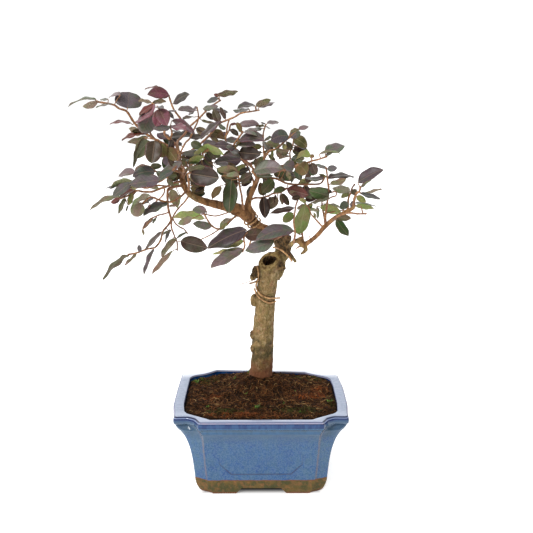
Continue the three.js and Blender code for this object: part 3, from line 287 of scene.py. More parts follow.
# Knobs of dead wood: x, z, depth, radius and half height.
KNOBS = [
  [-7.5, 208, 17, 5.2, 8], [-5.5, 241, 13, 5, 8], [-9.5, 235, 12, 3.6, 3.6], [-9.5, 166, 21, 3.4, 6],
  [-10, 149, 22, 3, 5], [14, 226, 14, 4.5, 6],
]
# The stub's sawn face: its middle, how it is tilted, and the rotten hole's radius inside and at the face.
CUT = {"at": [9.5, 255, 13.5], "tilt": 54, "lean": 0.25, "hollow": [3.4, 7]}
# The tying wires, each with its radius and its routes of [x, z, depth].
WIRES = [
  ["trunk_wire", 1.05, [[-4.2, 248.5, 12.5], [-3.2, 243, 8.3], [-2.6, 237.6, 8.3], [-3.4, 231.7, 10.6],
      [-8.3, 228.8, 9.5], [-13.2, 227.5, 8.5]],
    [[-3.6, 232.2, 10.4], [-5.4, 226.5, 13.2], [-5, 222, 13.4], [-2.7, 217.3, 10], [0, 214, 8],
      [3.1, 212.2, 6.8], [6.3, 211, 6.3], [9.6, 210.1, 6.5], [13.5, 210, 10], [17, 210.1, 13],
      [21.9, 210.4, 18]]],
  ["loop_wire", 1, [[-7.5, 222, 17.5], [-5.1, 215, 14.8], [-2, 211, 9.8], [1.4, 208.2, 7.8],
      [5.4, 205.8, 7], [9.6, 204.5, 7.8], [13.5, 205, 10.5], [17, 206.3, 13.8]]],
  ["stub_wire", 1, [[14, 269.8, 26.5], [18, 269, 21.5], [21, 267.7, 14.8], [24, 265.9, 11.5],
      [28.9, 261.7, 7.5], [31.5, 259, 4.5], [33.8, 255.9, 2.8], [35.2, 253.9, 1.8]]],
  ["branch_wire", 0.95, [[-4.5, 295.2, 9.9], [-8.6, 292.8, 9.9], [-10, 290.5, 9.5], [-9.5, 285, 8.5],
      [-10, 280, 7.5], [-12.5, 274, 7], [-13, 271, 7]]],
]
# The turns of a wire round the first branch: between which of its rows, where they start along it and how far
# apart they are, from which turn to which, with how many parts to a turn, and how far the wire stands off.
WRAP = {
  "wire": "branch_wire", "first": 6, "last": 9, "start": 9, "pitch": 6.4,
  "turns": [0.7, 2.42], "parts": 7, "grip": 1.06, "off": 1.3,
}

# The leafy sprays. Each has its twigs, [thick radius, thin radius, then points of [x, z, depth]], and its
# leaves, [base x, base z, tip x, tip z, width seen, tip depth less base depth, bow, kind].
SPRAYS = [
  ["spray_left_high", [
    [1.6, 1.1, [-90, 378, 10], [-98, 382, 12], [-110, 388, 10], [-121, 394, 4], [-130, 401, 0],
      [-137, 409, -4], [-144, 420, -8], [-152, 423, -12], [-158, 427, -14], [-174, 430, -16]],
  ], [
    [-176, 432, -207, 427, 2, 4, 3, "g"],
    [-174, 430, -191, 425, 7, -6, -1, "t"],
    [-163, 432, -172, 433, 3, 6, 0, "m"],
    [-159, 428, -177, 424, 2, -10, 1, "m"],
    [-150, 437, -163, 435, 4, 12, 2, "m"],
    [-143, 423, -140, 441, 29, 10, 0, "s"],
    [-138, 406, -163, 407, 3, -8, 3, "r"],
    [-130, 396, -142, 402, 8, 12, 0, "u"],
  ]],
  ["spray_left_upper", [
    [1.3, 0.9, [-89, 371, 8], [-94, 376, -8], [-104, 384, -24], [-112, 388, -28], [-119, 396, -30],
      [-122, 406, -32], [-117, 414, -34], [-115, 426, -36]],
  ], [
    [-114, 427, -131, 416, 6, -8, 1, "r"],
    [-116, 429, -131, 431, 4, 8, 1, "u"],
    [-117, 428, -101, 430, 5, 10, 1, "u"],
    [-117, 420, -128, 397, 19, -14, 0, "m"],
    [-114, 428, -135, 408, 6, -22, -3, "v"],
    [-116, 401, -124, 402, 6, -8, 0, "n"],
    [-122, 397, -140, 400, 7, -6, 0, "n"],
    [-124, 397, -151, 390, 4, -14, 2, "r"],
    [-122, 393, -145, 388, 7, -4, -1, "u"],
  ]],
  ["spray_crown_left", [
    [1.4, 1.0, [-91, 383, 12], [-90, 388, 26], [-85, 393, 36], [-79, 402, 38], [-86, 412, 40],
      [-92, 420, 42], [-95, 426, 42], [-98, 436, 44]],
    [1.2, 0.9, [-79, 402, 38], [-73, 407, 34], [-66, 413, 31], [-59, 420, 28], [-52, 426, 26],
      [-44, 431, 24]],
  ], [
    [-98, 437, -121, 438, 13, -14, 2, "v"],
    [-107, 443, -124, 444, 3, 10, 2, "r"],
    [-94, 428, -76, 438, 9, -8, 2, "p"],
    [-62, 423, -46, 426, 6, -10, 0, "m"],
    [-52, 422, -34, 420, 5, 8, 0, "p"],
    [-45, 433, -58, 430, 6, 6, 0, "s"],
    [-46, 436, -24, 442, 7, -8, 1, "u"],
    [-44, 436, -50, 438, 4, 4, 0, "r"],
    [-64, 411, -49, 408, 3, 8, -1, "o"],
    [-91, 421, -101, 420, 2, -12, 0, "s"],
  ]],
  ["spray_crown_back_left", [
    [1.2, 0.8, [-89, 368, 8], [-89, 372, 36], [-82, 386, 58], [-77, 391, 62], [-72, 401, 62],
      [-67, 412, 62], [-68, 423, 64]],
  ], [
    [-70, 421, -89, 422, 7, -12, 1, "m"],
    [-68, 424, -78, 417, 5, 12, 0, "p"],
    [-71, 414, -84, 412, 3, 14, 1, "n"],
    [-77, 391, -62, 395, 8, 14, 0, "d"],
    [-86, 383, -104, 394, 9, 12, 0, "k"],
    [-74, 395, -101, 394, 9, 8, 0, "k"],
  ]],
  ["spray_left_front", [
    [1.5, 1.0, [-89, 365, 6], [-88, 374, -24], [-92, 384, -46], [-98, 390, -56], [-104, 396, -60],
      [-103, 406, -62], [-106, 418, -64], [-110, 424, -66]],
    [1.0, 0.8, [-98, 390, -56], [-96, 398, -62], [-98, 403, -66]],
  ], [
    [-107, 422, -113, 404, 12, -10, 0, "v"],
    [-109, 422, -101, 405, 14, -16, 1, "v"],
    [-100, 419, -93, 412, 4, 8, 1, "k"],
    [-112, 424, -104, 423, 3, -10, 1, "s"],
    [-98, 404, -116, 401, 7, -14, 0, "m"],
    [-96, 405, -81, 400, 8, -18, 1, "v"],
    [-96, 410, -70, 397, 8, 6, 2, "v"],
    [-100, 391, -112, 397, 8, 14, 0, "p"],
    [-95, 384, -106, 395, 8, 8, 0, "e"],
    [-97, 399, -86, 399, 3, 12, 0, "k"],
  ]],
  ["spray_left_broad", [
    [1.4, 1.0, [-88, 359, 5], [-91, 368, -26], [-98, 377, -46], [-106, 384, -54], [-111, 389, -60]],
  ], [
    [-115, 389, -119, 365, 17, -12, 0, "d"],
    [-118, 387, -136, 370, 15, 4, 4, "g"],
    [-126, 392, -140, 360, 5, 8, 4, "n"],
    [-106, 386, -108, 370, 10, -6, 0, "o"],
    [-103, 381, -92, 367, 12, -10, 1, "o"],
    [-98, 378, -103, 361, 12, 8, -2, "p"],
    [-99, 380, -96, 389, 7, -12, 0, "k"],
  ]],
  ["spray_crown_long", [
    [1.5, 0.8, [-90, 374, 9], [-83, 376, 20], [-76, 378, 22], [-66, 385, 18], [-57, 393, 12],
      [-50, 401, 8], [-45, 407, 4], [-38, 410, 0], [-28, 414, -4], [-21, 418, -8], [-9, 420, -12],
      [-3, 421, -14]],
  ], [
    [-6, 426, -25, 423, 6, -10, 2, "s"],
    [-12, 422, -30, 422, 5, 10, -1, "s"],
    [-5, 425, 11, 433, 7, -8, 1, "u"],
    [-2, 424, 15, 431, 4, 10, 0, "p"],
    [-43, 410, -66, 392, 7, -10, 0, "p"],
    [-47, 407, -37, 402, 5, 8, -1, "g"],
    [-56, 393, -39, 390, 10, 12, 5, "o"],
    [-51, 399, -55, 406, 4, 10, 0, "n"],
  ]],
  ["spray_crown_middle", [
    [1.3, 0.9, [-2, 352, 4], [-11, 361, 26], [-24, 372, 44], [-32, 380, 44], [-38, 388, 42],
      [-37, 396, 40], [-36, 404, 38], [-34, 411, 36]],
    [1.0, 0.9, [-37, 395, 40], [-34, 400, 36], [-32, 406, 32], [-25, 406, 30]],
  ], [
    [-24, 406, -2, 407, 8, -12, 1, "m"],
    [-37, 396, -42, 397, 4, 4, 0, "p"],
    [-33, 406, -26, 407, 3, -4, 0, "r"],
    [-39, 388, -20, 389, 7, 8, 1, "m"],
    [-38, 386, -54, 384, 9, 12, -1, "g"],
    [-37, 391, -49, 398, 7, 12, 2, "o"],
  ]],
  ["spray_crown_mauve", [
    [1.2, 0.8, [0, 357, 5], [2, 358, 30], [4, 363, 56], [4, 371, 62], [3, 380, 58], [3, 390, 54],
      [3, 397, 52], [5, 404, 50]],
  ], [
    [1, 402, -17, 399, 5, -14, 0, "m"],
    [7, 407, 20, 409, 5, 10, 0, "m"],
    [5, 407, 0, 408, 2, -4, 0, "p"],
    [5, 404, 11, 402, 2, 6, 0, "m"],
    [4, 404, -6, 405, 3, -8, 0, "o"],
    [3, 391, -12, 394, 5, 14, 2, "m"],
    [4, 389, 12, 392, 4, 10, 1, "n"],
  ]],
  ["spray_crown_heart", [
    [1.4, 0.9, [-4, 346, 3], [-7, 354, -6], [-10, 361, -12], [-15, 366, -20], [-19, 370, -26],
      [-26, 378, -34], [-29, 384, -38], [-25, 390, -40], [-20, 397, -42]],
  ], [
    [-19, 399, -24, 399, 3, 6, 0, "y"],
    [-19, 398, -4, 395, 4, -8, 1, "m"],
    [-24, 388, 4, 389, 11, -14, 4, "p"],
    [-27, 386, -5, 384, 8, -6, 1, "m"],
    [-27, 381, -23, 388, 4, -12, 0, "o"],
    [-28, 381, -50, 384, 9, -14, 1, "p"],
    [-22, 374, -38, 382, 8, -18, 0, "m"],
    [-24, 376, 0, 374, 15, -14, 0, "k"],
    [-21, 371, -38, 374, 6, 6, 0, "p"],
  ]],
  ["spray_crown_olive", [
    [1.2, 0.9, [-86, 347, 2], [-79, 359, -12], [-70, 367, -16], [-63, 371, -24], [-63, 375, -32],
      [-58, 379, -40]],
  ], [
    [-66, 378, -39, 375, 10, -14, 3, "y"],
    [-61, 378, -73, 375, 6, -14, 1, "y"],
    [-64, 381, -76, 387, 9, 6, 0, "g"],
    [-63, 383, -47, 386, 7, 10, 2, "s"],
    [-65, 375, -86, 374, 7, 2, 1, "m"],
  ]],
  ["spray_crown_right", [
    [1.4, 1.0, [4, 370, 6], [9, 377, -6], [15, 379, -12], [20, 382, -14], [25, 387, -16],
      [31, 392, -18]],
  ], [
    [30, 394, 11, 389, 14, -10, 2, "s"],
    [31, 393, 44, 398, 9, 8, 0, "m"],
    [32, 397, 43, 401, 4, -4, 1, "u"],
    [41, 401, 52, 404, 5, 4, 0, "m"],
    [22, 383, 6, 386, 8, 10, 1, "u"],
    [24, 385, 28, 379, 5, -8, 0, "b"],
    [16, 379, 31, 378, 6, -12, -1, "u"],
    [14, 378, 10, 368, 4, -10, 0, "b"],
    [8, 377, 4, 389, 7, 14, 0, "d"],
  ]],
  ["spray_crown_round", [
    [1.2, 0.8, [2, 364, 6], [14, 362, 20], [26, 362, 26], [32, 368, 22], [32, 376, 18], [35, 384, 14],
      [36, 391, 10]],
  ], [
    [36, 391, 51, 381, 12, -12, 2, "o"],
    [41, 382, 52, 379, 4, 6, 0, "k"],
    [34, 380, 20, 375, 4, 8, 0, "g"],
    [34, 383, 24, 381, 6, 14, 0, "u"],
    [32, 372, 20, 369, 4, 12, 1, "u"],
    [33, 369, 45, 371, 4, -10, 0, "e"],
  ]],
  ["spray_right_high", [
    [1.5, 0.9, [-1, 354, 4], [12, 355, -12], [26, 357, -24], [36, 360, -30], [44, 363, -34],
      [52, 365, -36], [57, 367, -37], [62, 368, -38], [71, 371, -40]],
  ], [
    [70, 378, 92, 384, 11, 10, 0, "m"],
    [64, 374, 88, 375, 3, -8, 2, "t"],
    [71, 373, 79, 377, 4, -4, 0, "m"],
    [55, 371, 37, 368, 7, -12, 4, "y"],
    [54, 372, 59, 372, 4, -4, 0, "o"],
    [40, 364, 47, 366, 5, 8, 0, "g"],
    [40, 361, 51, 352, 15, -12, 3, "o"],
    [37, 361, 25, 362, 12, -10, 0, "m"],
    [50, 364, 52, 351, 4, 4, 0, "p"],
  ]],
  ["spray_left_middle", [
    [1.4, 1.0, [-87, 353, 4], [-92, 356, -18], [-100, 356, -26], [-108, 354, -30], [-114, 355, -32],
      [-121, 359, -32]],
  ], [
    [-137, 354, -157, 350, 8, 6, 2, "m"],
    [-119, 360, -138, 357, 6, 8, 1, "t"],
    [-121, 359, -108, 362, 7, 10, 1, "g"],
    [-116, 355, -141, 350, 13, -6, 2, "s"],
  ]],
  ["spray_left_grey", [
    [1.3, 0.9, [-87, 349, 3], [-84, 358, -36], [-89, 362, -60], [-95, 358, -70], [-103, 350, -74],
      [-112, 344, -76], [-130, 341, -78], [-140, 343, -78]],
  ], [
    [-86, 366, -112, 351, 9, -6, 1, "m"],
    [-96, 356, -114, 345, 7, -10, 1, "s"],
    [-110, 346, -146, 342, 13, -8, 0, "s"],
    [-140, 345, -166, 337, 6, 4, 1, "t"],
    [-149, 340, -172, 338, 3, 10, 0, "s"],
    [-143, 343, -164, 328, 10, -10, 0, "s"],
    [-103, 348, -92, 351, 5, 8, 0, "n"],
  ]],
  ["spray_left_low", [
    [1.4, 1.0, [-85, 343, 1], [-91, 344, -6], [-97, 342, -12], [-103, 339, -18], [-112, 336, -26],
      [-120, 333, -32], [-130, 333, -38], [-137, 334, -44], [-146, 329, -48], [-154, 326, -50]],
    [1.0, 0.8, [-103, 339, -18], [-114, 340, -20], [-125, 337, -22], [-132, 338, -24]],
    [0.9, 0.8, [-106, 336, -20], [-107, 331, -18], [-111, 326, -16], [-115, 323, -14]],
  ], [
    [-155, 327, -190, 314, 5, -10, 4, "u"],
    [-155, 325, -166, 321, 6, 6, 0, "r"],
    [-138, 335, -157, 326, 5, -10, 1, "r"],
    [-132, 338, -152, 334, 5, -12, 1, "y"],
    [-141, 331, -147, 318, 6, -10, 0, "y"],
    [-150, 326, -158, 308, 5, -6, 0, "g"],
    [-137, 333, -149, 324, 4, 12, 0, "r"],
    [-147, 318, -150, 311, 2, -4, 0, "g"],
    [-113, 336, -122, 338, 4, -10, 0, "u"],
  ]],
  ["spray_left_olive", [
    [1.2, 0.9, [-82, 334, 0], [-88, 328, -24], [-98, 322, -42], [-106, 322, -52], [-113, 324, -58],
      [-122, 327, -60], [-131, 320, -62]],
  ], [
    [-133, 321, -141, 305, 14, -8, 0, "t"],
    [-122, 329, -144, 318, 6, -12, 1, "t"],
    [-130, 319, -117, 328, 3, 4, 0, "s"],
    [-103, 321, -131, 307, 9, -12, 1, "m"],
    [-122, 318, -130, 311, 3, 8, 0, "r"],
  ]],
  ["spray_hanging_left", [
    [1.5, 1.0, [-84, 339, 1], [-92, 339, 4], [-98, 338, 2], [-102, 336, -2], [-103, 330, -4],
      [-103, 318, -6], [-102, 311, -8], [-100, 302, -10], [-103, 296, -14], [-109, 289, -18],
      [-111, 283, -20], [-113, 277, -22], [-119, 270, -24], [-128, 268, -26], [-139, 264, -28],
      [-148, 262, -30]],
    [0.9, 0.8, [-102, 310, -8], [-108, 308, -4], [-113, 307, -2], [-120, 304, 0]],
  ], [
    [-120, 304, -132, 290, 5, 4, 1, "u"],
    [-132, 291, -131, 284, 3, 2, 0, "u"],
    [-116, 305, -120, 297, 3, 6, 0, "n"],
    [-111, 288, -131, 267, 5, -12, 0, "d"],
    [-103, 289, -109, 285, 3, -12, 0, "g"],
    [-120, 268, -135, 238, 5, 6, -2, "p"],
    [-149, 261, -180, 233, 6, -8, 5, "n"],
    [-139, 264, -154, 250, 3, 8, -2, "u"],
    [-136, 265, -137, 273, 5, -4, 0, "s"],
    [-102, 317, -92, 318, 3, 6, 0, "u"],
  ]],
  ["spray_hanging_right", [
    [1.1, 0.8, [-78, 331, 1], [-84, 322, 12], [-89, 317, 16], [-94, 311, 12], [-98, 304, 10],
      [-100, 295, 8], [-99, 290, 6], [-96, 281, 2], [-94, 276, 0], [-94, 268, -2]],
    [0.9, 0.8, [-98, 303, 10], [-95, 297, 14], [-90, 293, 16], [-86, 291, 18], [-83, 287, 18]],
  ], [
    [-100, 290, -109, 275, 4, 8, 0, "k"],
    [-98, 281, -112, 259, 7, 10, 0, "u"],
    [-95, 280, -103, 271, 4, -6, 0, "u"],
    [-83, 287, -95, 280, 3, -6, 0, "g"],
    [-99, 266, -124, 239, 6, -8, -1, "u"],
    [-90, 277, -60, 269, 18, -8, 0, "d"],
  ]],
  ["spray_left_fan", [
    [1.2, 0.9, [-83, 337, 1], [-82, 341, 22], [-90, 340, 32], [-97, 337, 26], [-102, 334, 24]],
  ], [
    [-90, 341, -99, 338, 5, -10, 0, "b"],
    [-98, 336, -94, 317, 11, -6, 0, "u"],
    [-90, 330, -93, 315, 6, 8, 0, "b"],
    [-88, 352, -104, 344, 6, -6, 0, "n"],
    [-92, 348, -103, 343, 4, -12, 0, "m"],
    [-85, 350, -79, 360, 4, 10, 0, "b"],
  ]],
  ["spray_middle_broad", [
    [1.4, 1.0, [-80, 333, 1], [-79, 340, -20], [-80, 352, -34], [-77, 354, -44]],
  ], [
    [-77, 353, -46, 348, 21, -10, 0, "k"],
    [-79, 356, -61, 362, 7, -16, 0, "n"],
    [-79, 366, -62, 372, 7, 6, 0, "y"],
    [-78, 347, -70, 341, 5, 8, 0, "d"],
    [-82, 366, -66, 367, 5, 10, 0, "g"],
  ]],
  ["spray_low_green", [
    [1.2, 0.9, [-22, 312, 9], [-27, 306, -4], [-31, 303, -12], [-36, 298, -16], [-42, 293, -20],
      [-48, 291, -24], [-54, 294, -28], [-58, 299, -30], [-63, 308, -32]],
    [0.8, 0.6, [-46, 291, -23], [-55, 285, -26], [-65, 280, -28]],
    [0.8, 0.7, [-63, 308, -32], [-54, 306, -24], [-48, 306, -20], [-38, 309, -16]],
  ], [
    [-60, 311, -76, 313, 9, -8, 1, "m"],
    [-62, 303, -98, 304, 10, 4, 1, "y"],
    [-76, 303, -93, 297, 8, -10, 0, "t"],
    [-55, 294, -76, 297, 9, -10, 0, "m"],
    [-34, 303, -46, 293, 8, 4, 0, "t"],
    [-37, 297, -46, 290, 4, -8, 0, "y"],
  ]],
  ["spray_low_purple", [
    [1.3, 0.9, [3, 290, 23], [-3, 287, 4], [-10, 288, -16], [-17, 286, -28], [-19, 280, -32],
      [-18, 272, -36], [-20, 266, -38]],
  ], [
    [-16, 290, -60, 269, 18, -8, 2, "p"],
    [-19, 277, -49, 271, 9, 4, 0, "y"],
    [-20, 268, -58, 248, 13, -6, 0, "m"],
    [-21, 266, -54, 262, 4, 8, 2, "y"],
    [-18, 283, 4, 286, 14, 8, 0, "d"],
  ]],
  ["spray_low_grey", [
    [1.2, 0.9, [37, 275, 6], [37, 276, -14], [38, 282, -30], [38, 288, -38], [30, 286, -42],
      [16, 279, -44]],
  ], [
    [37, 289, -6, 279, 15, -10, 4, "s"],
    [15, 278, -18, 267, 14, -8, -1, "m"],
  ]],
  ["spray_low_olive", [
    [1.3, 0.9, [46, 273, 0], [47, 281, 8], [46, 290, 6], [48, 304, 2], [50, 316, 0], [47, 325, -2]],
  ], [
    [43, 284, 49, 320, 17, -10, 0, "b"],
    [50, 317, 40, 314, 5, -8, 0, "u"],
    [50, 320, 42, 327, 5, -4, 0, "y"],
  ]],
  ["spray_centre_dark", [
    [1.3, 0.9, [-18, 310, 10], [-20, 318, -10], [-21, 328, -18], [-23, 338, -24], [-24, 348, -28],
      [-25, 354, -30]],
  ], [
    [-32, 346, -36, 309, 16, -10, -1, "e"],
    [-29, 349, -38, 341, 7, 6, 0, "o"],
    [-24, 351, -38, 352, 6, -10, 0, "t"],
    [-25, 355, -48, 358, 9, -8, 0, "u"],
    [-23, 345, -9, 353, 9, -8, 0, "d"],
    [-21, 339, -9, 350, 8, 4, 0, "k"],
  ]],
  ["spray_centre_purple", [
    [1.2, 0.9, [-8, 336, 3], [-8, 344, 14], [-11, 352, 14], [-14, 360, 8], [-20, 367, 4]],
  ], [
    [-21, 368, -51, 366, 13, -10, 0, "p"],
    [-16, 362, -30, 356, 6, -4, 0, "b"],
    [-13, 362, -5, 366, 4, 8, 0, "r"],
    [-19, 369, -28, 378, 6, 10, 0, "g"],
  ]],
  ["spray_centre_mauve", [
    [1.3, 1.0, [-5, 342, 2], [-4, 347, -20], [-7, 352, -34], [-9, 355, -40]],
  ], [
    [-8, 355, 25, 358, 15, -8, 3, "m"],
    [-6, 359, 2, 372, 8, 6, 0, "u"],
    [-6, 351, 14, 351, 5, 8, -1, "g"],
  ]],
  ["spray_centre_green", [
    [1.2, 0.9, [-13, 323, 6], [-6, 326, 3], [0, 326, 0], [8, 328, -4], [14, 331, -6], [22, 332, -8],
      [28, 336, -10]],
  ], [
    [14, 346, 2, 332, 13, -8, 0, "g"],
    [27, 337, 14, 333, 7, -6, 0, "g"],
    [3, 327, 5, 303, 12, -8, 0, "k"],
    [19, 326, 5, 314, 12, 8, 0, "n"],
  ]],
  ["spray_centre_long", [
    [1.4, 0.9, [-3, 349, 3], [10, 348, -2], [18, 347, -6], [26, 343, -10], [36, 341, -14],
      [55, 341, -16], [66, 342, -18], [70, 348, -18]],
  ], [
    [29, 336, 53, 329, 13, -8, 0, "r"],
    [20, 347, 41, 349, 6, 8, 0, "o"],
    [42, 343, 57, 346, 7, 8, 0, "y"],
    [26, 364, 34, 351, 9, -6, 0, "m"],
    [70, 350, 49, 348, 5, -8, -2, "m"],
    [27, 356, 41, 349, 4, -14, -1, "k"],
  ]],
  ["spray_centre_low", [
    [1.0, 0.8, [37.5, 276.5, 6], [38.6, 286, -12], [36.8, 298, -18], [38, 310, -20], [39.4, 319, -22],
      [42, 325, -22]],
  ], [
    [38, 315, 10, 310, 6, -8, 1, "k"],
    [36, 309, 25, 299, 10, 6, 0, "b"],
    [44, 327, 34, 325, 6, -4, 0, "k"],
  ]],
  ["spray_right_mauve", [
    [1.4, 0.9, [72.6, 296, -10], [72, 306, -10], [73, 313, -12], [74, 322, -16], [75, 331, -20],
      [75, 338, -22], [74, 343, -23], [73, 352, -24], [72, 358, -25]],
    [0.8, 0.7, [74, 324, -17], [79, 327, -20], [83, 328, -22], [84, 332, -24], [81, 333, -26]],
  ], [
    [73, 358, 84, 359, 7, -6, 0, "s"],
    [73, 358, 60, 364, 4, 6, 0, "m"],
    [73, 349, 64, 352, 3, 4, 0, "b"],
    [74, 348, 103, 351, 7, 10, 2, "k"],
    [77, 341, 94, 348, 7, -12, -1, "u"],
    [76, 328, 54, 334, 14, -8, 0, "g"],
    [79, 331, 62, 337, 6, 10, 0, "k"],
    [76, 325, 55, 321, 4, -14, -1, "n"],
  ]],
  ["spray_right_green", [
    [1.3, 0.9, [96, 311, -21], [97, 315, 0], [97, 323, 8], [98, 328, 8], [100, 332, 6], [101, 337, 4],
      [103, 340, 2]],
  ], [
    [99, 333, 79, 337, 9, -8, 1, "t"],
    [98, 332, 89, 326, 6, 6, 0, "b"],
    [101, 330, 106, 335, 7, -8, 0, "g"],
    [97, 321, 88, 314, 9, -10, 0, "m"],
    [99, 319, 104, 318, 8, 8, 0, "p"],
  ]],
  ["spray_right_far", [
    [1.6, 1.0, [103, 317, -24], [104, 325, -28], [106, 331, -30], [109, 333, -32], [110, 337, -33]],
  ], [
    [107, 343, 134, 358, 12, -8, 1, "p"],
    [110, 337, 125, 351, 3, 8, -1, "t"],
    [113, 330, 134, 336, 3, 8, 0, "u"],
    [110, 331, 133, 325, 5, -8, 0, "s"],
    [106, 328, 117, 321, 7, -6, 0, "b"],
    [105, 320, 129, 318, 3, 6, 0, "g"],
    [105, 317, 126, 314, 6, -4, 0, "b"],
  ]],
  ["spray_right_low", [
    [1.4, 0.9, [80, 301.2, -14], [84, 304, -30], [90, 307, -40], [98, 309, -44], [108, 308, -46],
      [116, 308, -48]],
    [0.8, 0.7, [114, 308, -48], [113, 311, -48], [112, 315, -48]],
  ], [
    [83, 304, 101, 303, 8, -8, 0, "n"],
    [84, 302, 99, 283, 10, -6, -1, "e"],
    [112, 315, 118, 318, 3, -4, 0, "b"],
  ]],
  ["spray_right_back", [
    [1.2, 0.8, [72.2, 295, -9.5], [71, 303, 8], [70, 308, 18], [68, 318, 22], [68, 325, 26], [66, 331, 28]],
    [0.9, 0.7, [70, 308, 18], [80, 310, 14], [91, 312, 10]],
  ], [
    [66, 315, 91, 309, 10, -8, 1, "y"],
    [76, 319, 88, 315, 3, 4, 0, "t"],
    [66, 332, 54, 337, 7, 8, 0, "g"],
    [62, 316, 64, 302, 4, 4, 0, "g"],
  ]],
  ["spray_right_thin", [
    [1.0, 0.6, [70.2, 292, -9], [62, 301, -8], [56, 308, -6], [54, 314, -4], [50, 319, -8]],
  ], [
    [54, 314, 65, 311, 4, 6, 0, "t"],
    [60, 303, 60, 310, 3, -4, 0, "u"],
  ]],
]


# Materials
MATERIALS = {}
WHITE = (1.0, 1.0, 1.0, 1.0)
BLACK = (0.0, 0.0, 0.0, 1.0)


def from_srgb(red, green, blue):
    """A colour as the eye names it, 0 to 255, as light amounts."""
    def light(value):
        value /= 255
        return value / 12.92 if value <= 0.04045 else ((value + 0.055) / 1.055) ** 2.4
    return (light(red), light(green), light(blue), 1.0)


def as_light(shade):
    """Three numbers are an eye's colour. Four numbers, or a node's output, are light amounts already."""
    return from_srgb(*shade) if isinstance(shade, tuple) and len(shade) == 3 else shade


class Value:
    """An output of a node. Its sums, products and ramps are further nodes of the same tree."""

    def __init__(self, socket):
        self.socket = socket
        self.tree = socket.id_data

    def math(self, operation, other=0.0):
        return Value(put(self.tree, "ShaderNodeMath", {"operation": operation}, _0=self, _1=other).outputs[0])

    def __add__(self, other):
        return self.math("ADD", other)

    def __sub__(self, other):
        return self.math("SUBTRACT", other)

    def __mul__(self, other):
        return self.math("MULTIPLY", other)

    def __abs__(self):
        return self.math("ABSOLUTE")

    def ramp(self, low, high, out_low=0.0, out_high=1.0):
        """A smooth step from out_low to out_high while this value goes from low to high."""
        return Value(put(self.tree, "ShaderNodeMapRange", {"interpolation_type": "SMOOTHSTEP"}, Value=self,
                         From_Min=low, From_Max=high, To_Min=out_low, To_Max=out_high).outputs[0])

    def fall(self, low, high):
        """A smooth step from 1 down to 0 while this value goes from low to high."""
        return self.ramp(low, high, 1.0, 0.0)


def feed(socket, value):
    """Links a node's input to an output, or sets it to a constant."""
    if isinstance(value, Value):
        value.tree.links.new(value.socket, socket)
    else:
        socket.default_value = value


def put(tree, kind, settings=None, **values):
    """A node with its settings and its inputs, which go by name or by number, as in _0."""
    node = tree.nodes.new(kind)
    for name, value in (settings or {}).items():
        setattr(node, name, value)
    for name, value in values.items():
        numbered = name[0] == "_"
        feed(node.inputs[int(name[1:]) if numbered else name.replace("_", " ")], value)
    return node


def layered(colour, *layers, kind="MIX"):
    """A colour under others. Each layer is a mask, how strongly it covers there, and its own colour."""
    for mask, share, shade in layers:
        amount = mask if share == 1 else mask * share
        node = put(mask.tree, "ShaderNodeMix", {"data_type": "RGBA", "blend_type": kind}, _0=amount,
                   _6=as_light(colour), _7=as_light(shade))
        colour = Value(node.outputs[2])
    return colour


def parts_of(vector):
    outputs = put(vector.tree, "ShaderNodeSeparateXYZ", None, Vector=vector).outputs
    return [Value(socket) for socket in outputs]


def place_in(tree, kind="Object"):
    return Value(put(tree, "ShaderNodeTexCoord").outputs[kind])


def attribute(tree, name):
    return put(tree, "ShaderNodeAttribute", {"attribute_name": name}).outputs


def marks_of(tree, name):
    """The four amounts that a mesh holds for each of its points."""
    held = attribute(tree, name)
    parts = put(tree, "ShaderNodeSeparateColor", None, Color=Value(held["Color"])).outputs
    return [Value(socket) for socket in (*parts, held["Alpha"])]


def start_group(name, inputs, outputs):
    """A node group with inputs, each with its default, and number outputs: its tree, inputs and outputs."""
    tree = bpy.data.node_groups.new(name, "ShaderNodeTree")
    for label, value in inputs.items():
        kind = "NodeSocketVector" if isinstance(value, tuple) else "NodeSocketFloat"
        tree.interface.new_socket(name=label, in_out="INPUT", socket_type=kind).default_value = value
    for label in outputs:
        tree.interface.new_socket(name=label, in_out="OUTPUT", socket_type="NodeSocketFloat")
    given = {socket.name: Value(socket) for socket in tree.nodes.new("NodeGroupInput").outputs}
    return tree, given, tree.nodes.new("NodeGroupOutput").inputs


def make_mottle_group():
    """Cloudy blotches of a size in millimetres, stretched along the axes, between two noise levels."""
    settings = {"Size": 10.0, "Stretch": (1, 1, 1), "Place": 0.0, "Detail": 3.0, "Low": 0.35, "High": 0.65}
    tree, given, result = start_group("mottle", settings, ["Mask"])
    place = place_in(tree)
    for operation, other in (("MULTIPLY", given["Stretch"]), ("ADD", given["Place"])):
        moved = put(tree, "ShaderNodeVectorMath", {"operation": operation}, _0=place, _1=other)
        place = Value(moved.outputs[0])
    scale = put(tree, "ShaderNodeMath", {"operation": "DIVIDE"}, _0=1 / MM, _1=given["Size"])
    cloud = put(tree, "ShaderNodeTexNoise", None, Vector=place, Scale=Value(scale.outputs[0]),
                Detail=given["Detail"])
    feed(result["Mask"], Value(cloud.outputs["Fac"]).ramp(given["Low"], given["High"]))


